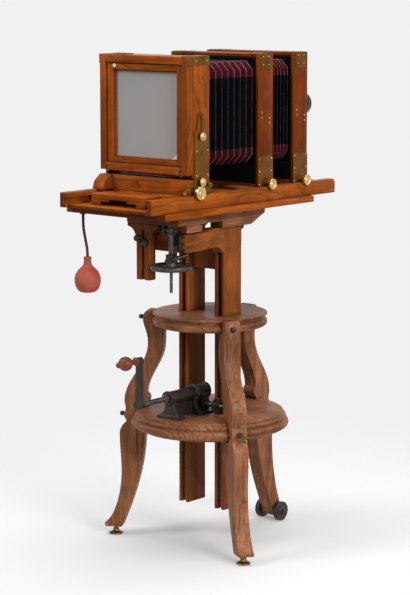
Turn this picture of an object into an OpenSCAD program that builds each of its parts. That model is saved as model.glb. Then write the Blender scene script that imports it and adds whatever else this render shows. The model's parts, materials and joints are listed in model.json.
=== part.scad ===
// Studio camera on a three-legged stand.
// +Y is the way the lens points, +X is the operator's right, +Z is up, and the floor is at z = 0.

/* [Stand] */
// Distance from the column's centre line to a levelling foot
foot_reach = 292; // [280:1:305]
// Thickness of a leg board
leg_t = 45; // [38:1:50]
// Height of the upper plate's top face
upper_z = 700; // [680:1:720]
// Radius of the upper plate
upper_r = 172; // [160:1:180]
// Thickness of the upper plate
upper_t = 40; // [34:1:46]
// Height of the lower plate's top face
lower_z = 403; // [390:1:415]
// Radius of the lower plate
lower_r = 237; // [228:1:245]
// Thickness of the lower plate
lower_t = 56; // [50:1:62]
// Radius of a leg bolt
bolt_r = 4; // [3:0.5:6]
// Radius of a leg bolt's ball head
ball_r = 7.5; // [6:0.5:9]
// Radius of a levelling foot's disc
foot_r = 21; // [18:1:26]
// Radius of a levelling foot's stud
stud_r = 6; // [5:0.5:8]
// Radius of a wheel
wheel_r = 30; // [26:1:34]
// Width of a wheel
wheel_w = 22; // [16:1:26]
// Distance from the column's centre line to the wheel axle
axle_reach = 300; // [290:1:310]

/* [Column] */
// Width of a post, across the camera
post_w = 36; // [30:1:40]
// Depth of a post, along the camera
post_d = 80; // [76:1:84]
// Distance between the posts' centre lines
post_pitch = 140.6; // [134:0.2:150]
// Height of the posts' lower ends above the floor
post_z0 = 110; // [105:1:130]
// Height of the posts' upper ends above the floor
post_z1 = 963; // [955:1:970]
// Depth of the groove in each post
groove_d = 22; // [20:0.5:26]
// Width of the groove in each post
groove_w = 16.6; // [16:0.2:18]
// Height of the racks' upper ends above the floor
rack_z1 = 540; // [520:1:560]
// Height of the cross rail between the posts
cross_h = 112; // [90:1:120]
// Length of the yoke in front of the posts
yoke_len = 173; // [170:1:178]
// Height of the yoke's boards
yoke_h = 52; // [48:1:60]
// Thickness of the yoke's front board
yoke_t = 44; // [36:1:48]
// Distance of the tilt screw and of the guide from the centre plane
screw_x = 50; // [46:1:54]
// Radius of the tilt screw's upper part
screw_r = 8; // [7:0.5:9]
// Radius of the tilt screw's threaded rod
rod_r = 4.5; // [4:0.5:6]
// Length of the tilt screw
screw_len = 167; // [165:1:180]
// Radius of the handwheel to the middle of its rim
hand_r = 52.5; // [50:0.5:56]
// Radius of the handwheel's rim
rim_r = 8.5; // [6:0.5:9]
// Width of the tilt guide
guide_w = 50; // [44:1:54]
// Length of the tilt guide
guide_len = 166; // [155:1:175]

/* [Lift drive] */
// Module of the racks and pinions
rack_m = 2.25; // [2:0.05:2.3]
// Teeth of a pinion
pinion_n = 18; // [16:1:19]
// Radius of the cross shaft
cross_r = 7; // [5:0.5:7]
// Module of the worm and its wheel
worm_m = 2; // [1.9:0.05:2.1]
// Teeth of the worm wheel
wheel_n = 20; // [18:1:20]
// Pitch radius of the worm
worm_r = 15; // [14:0.5:16]
// Radius of the crank shaft
crank_r = 8; // [7:0.5:9]
// Length of the crank arm between its two centres
crank_len = 130; // [110:1:140]
// Radius of the handle's ball
handle_r = 21; // [18:1:24]

/* [Bed] */
// Length of the bed rails
bed_len = 831; // [810:1:840]
// Width of the bed over its rails
bed_w = 358; // [350:1:366]
// Height of a bed rail
rail_h = 42; // [38:1:46]
// Width of a bed rail
rail_w = 26; // [24:1:28]
// Height of the bed board's underside above the floor
board_z = 1021; // [1015:1:1030]
// Thickness of the bed board
board_t = 18; // [14:1:20]
// Length of the bed board
board_len = 669; // [640:1:690]
// How far the bed board stands out past the rails
board_lip = 11; // [6:1:14]
// Thickness of the tilt table
table_t = 36; // [30:1:40]
// Width of the tilt table
table_w = 200; // [196:1:220]
// Outside diameter of the air hose
hose_d = 8; // [7:0.5:9]
// Largest radius of the air bulb
bulb_r = 38; // [34:1:40]

/* [Camera] */
// Width of the three standards
std_w = 336; // [328:1:340]
// Depth of each standard, along the bed
std_d = 68; // [60:1:72]
// Height of the standards' top above the rails
std_h = 387; // [375:1:395]
// Thickness of the standards' boards
std_t = 18; // [14:1:20]
// Height of the standards' bottom boards
sill_h = 68; // [60:1:72]
// Place of the rear frame's lens-side face
rear_y = -201; // [-206:1:-196]
// Place of the middle frame's operator-side face
middle_y = 18; // [12:1:24]
// Place of the front frame's operator-side face
front_y = 182; // [178:1:186]
// Thickness of the ground-glass frame
screen_t = 23; // [20:1:26]
// Width of the ground glass that shows
glass_w = 232; // [220:1:240]
// Height of the ground glass that shows
glass_h = 240; // [230:1:244]
// Half the outer size of the bellows
bellows_half = 149; // [140:1:149.5]
// Depth of a bellows fold
fold_d = 15; // [10:1:18]
// Cut of the bellows' corners
bellows_cut = 40; // [30:1:46]
// Folds of the rear bellows
rear_folds = 8; // [6:1:12]
// Folds of the front bellows
front_folds = 6; // [4:1:8]
// Length of the lens in front of its board
lens_len = 196; // [190:1:200]
// Radius of the lens barrel
lens_r = 30; // [27:0.5:31]
// Radius of the lens hood
hood_r = 34; // [33:0.5:38]
// Side of the square lens board
lens_board = 180; // [160:1:190]
// Radius of the focusing knobs
focus_knob_r = 19.5; // [16:0.5:20]
// Radius of the middle and front clamp knobs
clamp_knob_r = 16; // [13:0.5:18]
// Radius of the rear clamp knobs
rear_knob_r = 12; // [10:0.5:13]

/* [Hidden] */
$fn = 48;
// Clearance between faces that slide past each other
gap = 0.4;
// Clearance round a turning shaft
fit = 0.05;
eps = 0.01;
sides = [-1, 1];

// Heights and radii at which the legs hold the plates
upper_seat = upper_r - 6;
lower_seat = lower_r - 15;
upper_z0 = upper_z - upper_t;
lower_z0 = lower_z - lower_t;
upper_bolt_z = upper_z - 22;
lower_bolt_z = lower_z - 25;
leg_wall = 34;
leg_z0 = 27;
leg_angles = [210, 330, 90];
wheel_x = leg_t / 2 + 3 + wheel_w / 2;
axle_r = 5;
axle_end = wheel_x + wheel_w / 2 + 3;

// Posts and lift gear
post_x = post_pitch / 2;
post_y = post_d / 2;
post_in = post_x - post_w / 2;
post_out = post_x + post_w / 2;
rack_w = groove_w - 0.6;
rack_back = 7;
rack_add = rack_m;
rack_ded = 1.25 * rack_m;
rack_y = -post_y + groove_d - rack_back - rack_ded;
pinion_r = rack_m * pinion_n / 2;
pinion_w = 14;
backlash = 0.3;
cross_y = rack_y - pinion_r - 0.1;
cross_z = lower_z + pinion_r + rack_add + 3.5;
wheel_pr = worm_m * wheel_n / 2;
worm_z = cross_z + wheel_pr + worm_r;
worm_starts = 2;
worm_lead = worm_starts * PI * worm_m;
worm_len = 2 * worm_lead;
worm_play = 1.2;
worm_out = worm_r + 0.8 * worm_m;
case_r = worm_out + 8;
case_y0 = cross_y - wheel_pr - 7;
case_y1 = cross_y + wheel_pr + 2;
cap_t = 5;
barrel_y0 = -194;
barrel_r = 19;
journal_r = 6;
lug_x0 = 15;
lug_x1 = 27;
crank_y = -314;
arm_t = 12;
pin_r = 4;

// Yoke, tilt table and hinge
yoke_y0 = -post_y - yoke_len;
yoke_z0 = post_z1 - 7 - yoke_h;
yoke_z1 = yoke_z0 + yoke_h;
finger_h = yoke_h / 5;
table_z = board_z - table_t;
table_y0 = -post_y - yoke_len - 42;
hinge_y = post_y + 10;
hinge_z = post_z1 - 6;
knuckle_r = 5.6;
screw_y = yoke_y0 - 17;
screw_z0 = 788;
screw_z1 = screw_z0 + screw_len;
head_z = table_z - 17;
hand_z = 862;
hub_z0 = hand_z + 14;
hub_z1 = yoke_z0 - 5;
guide_t = 28;
guide_x = -screw_x;
guide_z1 = table_z - 2;
guide_z0 = guide_z1 - guide_len;
guide_y = yoke_y0 - gap;
slot_w = 11;
stud_z = yoke_z1 - 23;

// Bed
rail_z0 = board_z + board_t;
rail_z1 = rail_z0 + rail_h;
rail_out = bed_w / 2;
rail_in = rail_out - rail_w;
bed_y0 = -454;
bed_y1 = bed_y0 + bed_len;
board_y0 = -411;
floor_t = 8;
tongue_z0 = rail_z0 + 15;
tongue_h = 12;
tongue_d = 10;
splice_y = 184;
focus_m = 1;
focus_n = 16;
focus_r = focus_m * focus_n / 2;
focus_y = -260;
focus_rack_x = rail_in + 5;
focus_rack_w = 6;
focus_pitch_z = rail_z1 - 1.1;
focus_z = focus_pitch_z + focus_r + 0.05;
focus_rack_y0 = -368;
focus_rack_y1 = -196;
nipple = [-150, -385];
// Route of the air hose, from the nipple to the bulb
hose_route = [[-150, -385, 1002], [-150, -385, 990], [-149, -385, 976], [-147, -384, 960],
    [-144, -383, 944], [-141, -382, 928], [-139, -381, 914], [-138, -381, 903], [-138, -381, 892]];
bulb_top = [-138, -381, 892];

// Camera
std_z1 = rail_z1 + std_h;
std_x = std_w / 2;
base_z0 = rail_z1 + gap;
base_h = 43;
base_y0 = -285;
frame_z0 = base_z0 + base_h + 5;
open_x = std_x - std_t;
open_z0 = rail_z1 + sill_h;
open_z1 = std_z1 - std_t;
axis_z = (open_z0 + open_z1) / 2;
screen_y1 = rear_y - std_d - gap;
screen_y0 = screen_y1 - screen_t;
screen_z0 = frame_z0 + 8;
screen_zc = (screen_z0 + std_z1) / 2;
// Hinge lugs of the ground-glass frame, let into its lower edge
screen_pin_y = screen_y0 + 6;
screen_pin_z = screen_z0 + 6;
screen_pin_r = 2;
lug_x = 140;
lug_w = 8;
tail_y0 = -400;
tail_y1 = -70;
tail_z0 = rail_z0 + floor_t + 1;
tail_block_x = 102;
tail_block_y1 = -327;
slab_y0 = -345;
strap_t = 3;
strap_x = std_x + gap;
rise_y = -240;
rise_z = 1245;
rise = 50;
base_knob_y = -241;
base_knob_z = rail_z1 + 36;
clamp_in = 45;
clamp_z = rail_z1 + 8;
brass_t = 1.5;
lens_y = front_y + std_d + 4;
flap_half = 60;
shutter_y = front_y + 14;
flap_y = shutter_y - 4;
flap_z = axis_z + flap_half - 4;

// Point on a cubic curve
function bez_at(p, t) = pow(1 - t, 3) * p[0] + 3 * t * pow(1 - t, 2) * p[1]
    + 3 * t * t * (1 - t) * p[2] + pow(t, 3) * p[3];
// Points along a cubic curve, without its first point
function bez(p, n = 8) = [for (i = [1:n]) bez_at(p, i / n)];
// Points along an arc
function arc(c, r, a0, a1, n = 8) = [for (i = [0:n]) let (a = a0 + (a1 - a0) * i / n) c + r * [cos(a), sin(a)]];
// Angle, in degrees, by which an involute turns from its base circle
function inv(a) = tan(a) * 180 / PI - a;

// Outline of a spur gear with one tooth along +X
module gear_outline(m, n, add, ded, play) {
    r = m * n / 2;
    base = r * cos(20);
    half = 90 / n - play / 2 / r * 90 / PI * 2 / 2;
    radii = [max(base, r - ded), r - 0.3 * ded, r, r + 0.5 * add, r + add];
    half_at = [for (q = radii) half + inv(20) - inv(acos(min(1, base / q)))];
    polygon([for (k = [0:n - 1]) let (c = 360 * k / n) each concat(
        [(r - ded) * [cos(c - half_at[0] - 1), sin(c - half_at[0] - 1)]],
        [for (i = [0:4]) radii[i] * [cos(c - half_at[i]), sin(c - half_at[i])]],
        [for (i = [4:-1:0]) radii[i] * [cos(c + half_at[i]), sin(c + half_at[i])]],
        [(r - ded) * [cos(c + half_at[0] + 1), sin(c + half_at[0] + 1)]])]);
}

// Outline of a rack along +X, its teeth up, with a gap between two teeth at zero
module rack_outline(m, x0, x1, back, play) {
    p = PI * m;
    add = m;
    ded = 1.25 * m;
    half = p / 4 - play / 2;
    k0 = ceil(x0 / p);
    k1 = floor(x1 / p) - 1;
    polygon(concat([[x0, -ded - back]], [[x0, -ded]],
        [for (k = [k0:k1]) let (c = (k + 0.5) * p) each [
            [c - half - ded * tan(20), -ded], [c - half + add * tan(20), add],
            [c + half - add * tan(20), add], [c + half + ded * tan(20), -ded]]],
        [[x1, -ded]], [[x1, -ded - back]]));
}

// Box between two corners
module block(lo, hi) {
    translate(lo) cube(hi - lo);
}

// Cylinder along +X from x0 to x1
module rod_x(x0, x1, y, z, r) {
    translate([x0, y, z]) rotate([0, 90, 0]) cylinder(h = x1 - x0, r = r);
}

// Cylinder along +Y from y0 to y1
module rod_y(y0, y1, x, z, r) {
    translate([x, y0, z]) rotate([-90, 0, 0]) cylinder(h = y1 - y0, r = r);
}

// Flat shape in the (y, z) plane, thickened along +X from x0 to x1
module side_plate(x0, x1) {
    translate([x0, 0, 0]) rotate([90, 0, 90]) linear_extrude(x1 - x0) children();
}

// Turned knob along +Z, standing on z = 0
module turned_knob(r, h) {
    rotate_extrude() polygon(concat([[0, 0], [0.42 * r, 0], [0.36 * r, 0.3 * h]],
        arc([0.86 * r, 0.48 * h], 0.14 * r, -90, 0, 4), arc([0.86 * r, 0.62 * h], 0.14 * r, 0, 90, 4),
        [[0.55 * r, 0.72 * h], [0.5 * r, 0.8 * h]], arc([0.3 * r, 0.86 * h], 0.14 * h, 0, 90, 4),
        [[0, h]]));
}

// Knob with a round hub and a dished head from head_z to h, along +Z
module disc_knob(r, hub, head_z, h) {
    dish = 2.5;
    rotate_extrude() polygon(concat([[0, 0], [hub, 0], [hub, head_z - 1], [hub + 1, head_z]],
        arc([r - 2, head_z + 2], 2, -90, 0, 4), arc([r - 2, h - 2], 2, 0, 90, 4),
        [[r - 4.5, h], [r - 6, h - dish], [hub, h - dish], [hub - 1.5, h - 1], [0, h - 1]]));
}

// Knob on a side of the camera, with its stud; a wide knob has its head past the rail
module side_knob(side, x, y, z, r, h, stud, inside, wide = false) {
    translate([side * x, y, z]) rotate([0, side * 90, 0]) {
        if (wide) disc_knob(r, 7, rail_out + 1 - x, h);
        else turned_knob(r, h);
        translate([0, 0, -inside]) cylinder(h = inside + eps, r = stud);
    }
}

// Stand

// Outline of a leg in the (radius, height) plane
module leg_outline(wheeled) {
    toe = wheeled
        ? concat(bez([[lower_seat + 52, lower_z0 - 27], [lower_seat + 50, lower_z0 - 110],
            [axle_reach - 26, 150], [axle_reach + 20, wheel_r + 6]], 16),
            arc([axle_reach, wheel_r + 2], 20, 0, -180, 10))
        : concat(bez([[lower_seat + 52, lower_z0 - 27], [lower_seat + 52, lower_z0 - 80],
            [foot_reach - 26, lower_z0 - 120], [foot_reach - 22, lower_z0 - 169]], 8),
            bez([[foot_reach - 22, lower_z0 - 169], [foot_reach - 18, 120],
                [foot_reach + 2, 55], [foot_reach + 31, 37]], 12),
            [[foot_reach + 29, leg_z0]], [[foot_reach - 22, leg_z0]]);
    heel = wheeled ? [axle_reach - 20, wheel_r + 2] : [foot_reach - 22, leg_z0];
    polygon(concat([[upper_seat, upper_z]], [[upper_seat + 18, upper_z + 1]],
        bez([[upper_seat + 18, upper_z + 1], [upper_seat + 30, upper_z - 1],
            [upper_seat + 37, upper_z - 16], [upper_seat + leg_wall, upper_z - 32]], 6),
        bez([[upper_seat + leg_wall, upper_z - 32], [upper_seat + 31, upper_z - 50],
            [upper_seat + 19, upper_z - 70], [upper_seat + 19, upper_z - 95]], 6),
        bez([[upper_seat + 19, upper_z - 95], [upper_seat + 19, upper_z - 170],
            [lower_seat + 37, lower_z + 87], [lower_seat + 37, lower_z + 17]], 14),
        bez([[lower_seat + 37, lower_z + 17], [lower_seat + 36, lower_z + 7],
            [lower_seat + 30, lower_z - 1], [lower_seat + leg_wall, lower_z - 11]], 4),
        bez([[lower_seat + leg_wall, lower_z - 11], [lower_seat + 38, lower_z - 19],
            [lower_seat + 40, lower_z - 26], [lower_seat + 37, lower_z - 32]], 4),
        bez([[lower_seat + 37, lower_z - 32], [lower_seat + 34, lower_z - 38],
            [lower_seat + 30, lower_z0 + 14], [lower_seat + 31, lower_z0 + 9]], 3),
        bez([[lower_seat + 31, lower_z0 + 9], [lower_seat + 42, lower_z0 + 5],
            [lower_seat + 51, lower_z0 - 10], [lower_seat + 52, lower_z0 - 27]], 6),
        toe,
        bez([heel, [heel[0] - 32, 110], [lower_seat - 21, 195], [lower_seat - 25, lower_z0 - 17]], 14),
        [[lower_seat - 25, lower_z0]], [[lower_seat, lower_z0]], [[lower_seat, lower_z]],
        [[lower_seat - 26, lower_z]],
        arc([lower_seat - 20, lower_z + 25], 18, 225, 120, 8),
        bez([[lower_seat - 29, lower_z + 41], [lower_seat - 30, lower_z + 95],
            [upper_seat - 28, upper_z - 160], [upper_seat - 28, upper_z - 100]], 12),
        [[upper_seat - 30, upper_z0]], [[upper_seat, upper_z0]]));
}

module leg(i) {
    wheeled = i == 2;
    color("saddlebrown") rotate([0, 0, leg_angles[i]]) difference() {
        translate([0, leg_t / 2, 0]) rotate([90, 0, 0]) linear_extrude(leg_t) leg_outline(wheeled);
        for (z = [upper_bolt_z, lower_bolt_z]) rod_x(0, 400, 0, z, bolt_r);
        if (wheeled) rod_y(-leg_t, leg_t, axle_reach, wheel_r, axle_r);
        else translate([foot_reach, 0, 0]) cylinder(h = leg_z0 + 27, r = stud_r + fit);
    }
}

// Pockets in a plate's rim for the legs and their bolts
module leg_pockets(seat, z0, z1, bolt_z) {
    for (a = leg_angles) rotate([0, 0, a]) {
        block([seat, -leg_t / 2, z0 - 1], [400, leg_t / 2, z1 + 1]);
        rod_x(seat - 36, 400, 0, bolt_z, bolt_r);
    }
}

// Holes in a plate for the two posts, with a notch for each rack
module post_holes(z0, z1, notch) {
    for (s = sides) {
        block([s * post_x - post_w / 2 - gap, -post_y - gap, z0 - 1],
            [s * post_x + post_w / 2 + gap, post_y + gap, z1 + 1]);
        block([s * post_x - groove_w / 2, -post_y - notch, z0 - 1], [s * post_x + groove_w / 2, 0, z1 + 1]);
    }
}

module upper_plate() {
    color("sienna") difference() {
        rotate_extrude($fn = 120) polygon(concat([[0, upper_z0]], [[upper_r - 12, upper_z0]],
            arc([upper_r - 12, upper_z0 + 12.5], 12, -70, 70, 10), [[upper_r - 8, upper_z - 14]],
            arc([upper_r - 1, upper_z - 13], 6.5, 190, 110, 5),
            arc([upper_r - 3.5, upper_z - 3.5], 3.5, -60, 90, 6), [[0, upper_z]]));
        leg_pockets(upper_seat, upper_z0, upper_z, upper_bolt_z);
        post_holes(upper_z0, upper_z, 22);
    }
}

module lower_plate() {
    color("sienna") difference() {
        rotate_extrude($fn = 120) polygon(concat([[0, lower_z0]], [[lower_r - 27, lower_z0]],
            [[lower_r - 24, lower_z0 + 5]], arc([lower_r - 13, lower_z0 + 20], 13, -80, 70, 10),
            [[lower_r - 8, lower_z0 + 34]], arc([lower_r - 14, lower_z0 + 40], 6, -50, 80, 6),
            [[lower_r - 14, lower_z - 8]], arc([lower_r - 21, lower_z - 6], 6, -10, 90, 6), [[0, lower_z]]));
        leg_pockets(lower_seat, lower_z0, lower_z, lower_bolt_z);
        post_holes(lower_z0, lower_z, 0);
    }
}

module leg_bolt(seat, out, z) {
    rod_x(seat - 34, out + 4, 0, z, bolt_r);
    rod_x(out, out + 3, 0, z, ball_r - 1);
    translate([out + 3 + ball_r - 1, 0, z]) sphere(ball_r);
}

module stand_bolts() {
    color("dimgray") {
        for (a = leg_angles) rotate([0, 0, a]) {
            leg_bolt(upper_seat, upper_seat + leg_wall + 1, upper_bolt_z);
            leg_bolt(lower_seat, lower_seat + leg_wall + 5, lower_bolt_z);
        }
        rod_x(-axle_end, axle_end, axle_reach, wheel_r, axle_r);
        for (s = sides) rod_x(s * (axle_end + 1.5) - 1.5, s * (axle_end + 1.5) + 1.5, axle_reach, wheel_r, 9);
    }
}

module foot(i) {
    color("darkgoldenrod") rotate([0, 0, leg_angles[i]]) translate([foot_reach, 0, 0]) {
        rotate_extrude() polygon(concat([[0, 0]], [[foot_r - 1.5, 0]], arc([foot_r - 3, 3], 3, -60, 80, 5),
            [[10, 10]], [[9, 13]], [[9, 18]], [[stud_r, 18]], [[stud_r, leg_z0 + 23]], [[0, leg_z0 + 24]]));
    }
}

module wheel(s) {
    color("dimgray") translate([s * wheel_x, axle_reach, wheel_r]) rotate([0, s * 90, 0]) difference() {
        rotate_extrude() polygon(concat([[0, -wheel_w / 2]], [[12, -wheel_w / 2]], [[14, -wheel_w / 2 + 4]],
            [[wheel_r - 5, -wheel_w / 2 + 4]], arc([wheel_r - 3, -wheel_w / 2 + 6], 3, -90, 0, 3),
            arc([wheel_r - 3, wheel_w / 2 - 7], 3, 0, 90, 3), [[wheel_r - 9, wheel_w / 2 - 6]],
            [[13, wheel_w / 2 - 4]], [[11, wheel_w / 2]], [[0, wheel_w / 2]]));
        translate([0, 0, -wheel_w]) cylinder(h = 2 * wheel_w, r = axle_r + fit);
    }
}

// Lift drive

// Standing web of the casting, as wide at its foot as w
module casting_web(y, t, w) {
    translate([0, y + t, 0]) rotate([90, 0, 0]) linear_extrude(t) polygon(concat(
        [[-w, lower_z]], [[-w, lower_z + 9]],
        bez([[-w, lower_z + 9], [-w / 2, lower_z + 12], [-barrel_r + 4, worm_z - 30], [-barrel_r + 3, worm_z]], 6),
        [[barrel_r - 3, worm_z]],
        bez([[barrel_r - 3, worm_z], [barrel_r - 4, worm_z - 30], [w / 2, lower_z + 12], [w, lower_z + 9]], 6),
        [[w, lower_z]]));
}

module gear_bracket() {
    color("darkslategray") {
        difference() {
            union() {
                casting_web(-184, 14, 42);
                casting_web(case_y0 - 16, 14, 46);
                block([-6, -180, lower_z], [6, case_y0, worm_z - 8]);
                block([-42, -192, lower_z], [42, -160, lower_z + 7]);
                block([-46, case_y0 - 22, lower_z], [46, case_y0 + 6, lower_z + 7]);
                rod_y(barrel_y0, case_y0 + 2, 0, worm_z, barrel_r);
                rod_y(barrel_y0, barrel_y0 + 7, 0, worm_z, barrel_r + 2.5);
                rod_y(case_y0, case_y1, 0, worm_z, case_r);
                rod_y(case_y0 - 4, case_y0 + 3, 0, worm_z, case_r + 2);
                for (s = sides) {
                    block([min(s * lug_x0, s * lug_x1), cross_y - 14, lower_z],
                        [max(s * lug_x0, s * lug_x1), cross_y + 14, worm_z - 4]);
                    block([min(s * lug_x0, s * (lug_x1 + 16)), cross_y - 20, lower_z],
                        [max(s * lug_x0, s * (lug_x1 + 16)), cross_y + 16, lower_z + 7]);
                }
            }
            rod_y(barrel_y0 - 1, case_y0 + 3, 0, worm_z, crank_r + fit);
            rod_y(case_y0 + 2, case_y1 + 1, 0, worm_z, worm_out + 1);
            block([-wheel_pr / 2 + 1, cross_y - wheel_pr - 6, lower_z - 1],
                [wheel_pr / 2 - 1, cross_y + wheel_pr + 6, worm_z]);
            rod_x(-60, 60, cross_y, cross_z, cross_r + fit);
        }
        difference() {
            union() {
                rod_y(case_y1 + fit, case_y1 + cap_t, 0, worm_z, case_r + 1);
                rod_y(case_y1 + fit, case_y1 + cap_t + 4, 0, worm_z, 2 * journal_r);
            }
            rod_y(case_y1 - 1, case_y1 + cap_t + 1, 0, worm_z, journal_r + fit);
        }
    }
}

module cross_shaft() {
    color("gray") {
        rod_x(-post_out - 6, post_out + 6, cross_y, cross_z, cross_r);
        for (s = sides) rod_x(s * (lug_x1 + gap + 4) - 4, s * (lug_x1 + gap + 4) + 4, cross_y, cross_z, 12);
    }
}

// Gear on the cross shaft, with a tooth towards a
module shaft_gear(x, w, a, m, n, add, ded, play) {
    translate([x - w / 2, cross_y, cross_z]) rotate([90, 0, 90]) rotate([0, 0, a]) difference() {
        linear_extrude(w) gear_outline(m, n, add, ded, play);
        translate([0, 0, -1]) cylinder(h = w + 2, r = cross_r);
    }
}

module pinions() {
    color("dimgray") for (s = sides)
        shaft_gear(s * post_x, pinion_w, 0, rack_m, pinion_n, rack_add, rack_ded, backlash);
}

module worm_wheel() {
    color("darkgoldenrod")
        shaft_gear(0, wheel_pr / 2 + 2, 90, worm_m, wheel_n, 0.7 * worm_m, 1.1 * worm_m, worm_play);
}

module crank_shaft() {
    color("gray") {
        rod_y(crank_y + arm_t / 2, case_y1 - 1, 0, worm_z, crank_r);
        rod_y(case_y1 - 1 - eps, case_y1 + cap_t, 0, worm_z, journal_r);
        rod_y(barrel_y0 - 9, barrel_y0 - 1, 0, worm_z, crank_r + 5);
    }
}

module worm() {
    root = worm_r - 1.25 * worm_m;
    half = 180 * (PI * worm_m / 2 - worm_play) / worm_lead;
    slope = 180 * 2 * tan(20) / worm_lead;
    color("silver") translate([0, cross_y - worm_len / 2, worm_z]) rotate([-90, 0, 0]) difference() {
        linear_extrude(worm_len, twist = -360 * worm_len / worm_lead, slices = 48)
            polygon([for (k = [0:worm_starts - 1]) let (c = 360 * k / worm_starts) each concat(
                [for (i = [-3:-1]) root * [cos(c + 30 * i), sin(c + 30 * i)]],
                [root * [cos(c - half - 2.5 * slope), sin(c - half - 2.5 * slope)]],
                [worm_out * [cos(c - half + 1.6 * slope), sin(c - half + 1.6 * slope)]],
                [worm_out * [cos(c + half - 1.6 * slope), sin(c + half - 1.6 * slope)]],
                [root * [cos(c + half + 2.5 * slope), sin(c + half + 2.5 * slope)]],
                [for (i = [1:2]) root * [cos(c + 30 * i), sin(c + 30 * i)]])]);
        translate([0, 0, -1]) cylinder(h = worm_len + 2, r = crank_r, $fn = 24);
    }
}

module crank_arm() {
    top_z = worm_z + crank_len;
    color("dimgray") {
        difference() {
            union() {
                rod_y(crank_y - 12, crank_y + 10, 0, worm_z, 13.5);
                rod_y(crank_y - 9, crank_y + 8, 0, top_z, 11);
                translate([0, crank_y + arm_t / 2, 0]) rotate([90, 0, 0]) linear_extrude(arm_t)
                    polygon([[-10.5, worm_z], [10.5, worm_z], [8.5, top_z], [-8.5, top_z]]);
            }
            rod_y(crank_y + arm_t / 2, crank_y + 30, 0, worm_z, crank_r);
        }
        rod_y(crank_y - 84, crank_y - 9, 0, top_z, pin_r);
    }
}

module crank_handle() {
    y0 = crank_y - 10;
    color("peru") translate([0, y0, worm_z + crank_len]) rotate([90, 0, 0]) difference() {
        rotate_extrude() polygon(concat([[0, 0]], [[10, 0]], arc([9, 4], 4, -60, 60, 4), [[7, 9]], [[8, 20]],
            [[11, 26]], [[10, 30]], arc([0, 30 + handle_r - 3], handle_r, -60, 62, 12),
            arc([0, 30 + 2 * handle_r + 3], 9, -20, 90, 6)));
        translate([0, 0, -1]) cylinder(h = 76, r = pin_r + fit);
    }
}

// Column

module posts() {
    color("sienna") for (s = sides) difference() {
        block([s * post_x - post_w / 2, -post_y, post_z0], [s * post_x + post_w / 2, post_y, post_z1]);
        block([s * post_x - groove_w / 2, -post_y - 1, post_z0 - 1],
            [s * post_x + groove_w / 2, -post_y + groove_d, yoke_z0]);
    }
}

module racks() {
    color("dimgray") for (s = sides) translate([s * post_x - rack_w / 2, rack_y, cross_z]) rotate([180, -90, 0])
        linear_extrude(rack_w) rack_outline(rack_m, post_z0 - cross_z, rack_z1 - cross_z, rack_back, backlash);
}

module post_cross_rail() {
    color("sienna") block([-post_in, -22, yoke_z1 - 12 - cross_h], [post_in, 22, yoke_z1 - 12]);
}

// Side outline of a yoke arm, with its arched underside and raised end
module arm_outline() {
    y1 = -post_y;
    polygon(concat([[yoke_y0, yoke_z0]], [[yoke_y0 + 60, yoke_z0]],
        bez([[yoke_y0 + 60, yoke_z0], [y1 - 58, yoke_z0 + 5], [y1 - 36, yoke_z0 + 6], [y1 - 24, yoke_z0 + 2]], 6),
        bez([[y1 - 24, yoke_z0 + 2], [y1 - 14, yoke_z0 - 2], [y1 - 9, yoke_z0 - 8], [y1 - 8, yoke_z0 - 16]], 6),
        [[y1, yoke_z0 - 16]], [[y1, post_z1]], [[y1 - 40, post_z1]],
        bez([[y1 - 40, post_z1], [y1 - 60, post_z1 - 1], [y1 - 70, yoke_z1], [y1 - 92, yoke_z1]], 6),
        [[yoke_y0, yoke_z1]]));
}

module yoke_arms() {
    color("peru") for (s = sides) difference() {
        side_plate(s * post_x - post_w / 2, s * post_x + post_w / 2) arm_outline();
        for (k = [1, 3]) block([-post_out - 1, yoke_y0 - 1, yoke_z0 + k * finger_h],
            [post_out + 1, yoke_y0 + yoke_t, yoke_z0 + (k + 1) * finger_h]);
        rod_y(yoke_y0 - 1, yoke_y0 + 10, guide_x, stud_z, 5);
    }
}

module yoke_front_board() {
    color("sienna") difference() {
        union() {
            block([-post_in, yoke_y0, yoke_z0], [post_in, yoke_y0 + yoke_t, yoke_z1]);
            for (k = [1, 3]) block([-post_out, yoke_y0, yoke_z0 + k * finger_h],
                [post_out, yoke_y0 + yoke_t, yoke_z0 + (k + 1) * finger_h]);
        }
        rod_y(yoke_y0 - 1, yoke_y0 + 10, guide_x, stud_z, 5);
    }
}

module yoke_irons() {
    color("dimgray") {
        difference() {
            union() {
                block([screw_x - 24, yoke_y0 - 5, yoke_z0 + 2], [screw_x + 24, yoke_y0, yoke_z1 - 3]);
                block([screw_x - 9, yoke_y0 - 12, hub_z0], [screw_x + 9, yoke_y0, yoke_z0 + 20]);
                translate([screw_x, screw_y, hub_z0]) cylinder(h = hub_z1 - hub_z0, r = 16);
                translate([screw_x, screw_y, hub_z0]) cylinder(h = 8, r = 19);
                translate([screw_x + 8, screw_y + 10, hub_z0 + 10]) rotate([-75, 0, -30]) cylinder(h = 38, r = 6);
                translate([screw_x + 20, screw_y - 6, hub_z0 + 12]) sphere(9);
            }
            translate([screw_x, screw_y, hub_z0 - 1]) cylinder(h = 120, r = rod_r + gap);
            translate([screw_x, screw_y, hub_z1]) cylinder(h = 120, r = screw_r + gap);
        }
        rod_y(yoke_y0 - guide_t - 22, yoke_y0 + 10, guide_x, stud_z, 5);
    }
}

// Knuckles of a hinge along X
module knuckles(x0, x1) {
    difference() {
        rod_x(x0, x1, hinge_y, hinge_z, knuckle_r);
        rod_x(x0 - 1, x1 + 1, hinge_y, hinge_z, 2.5 + fit);
    }
}

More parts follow.
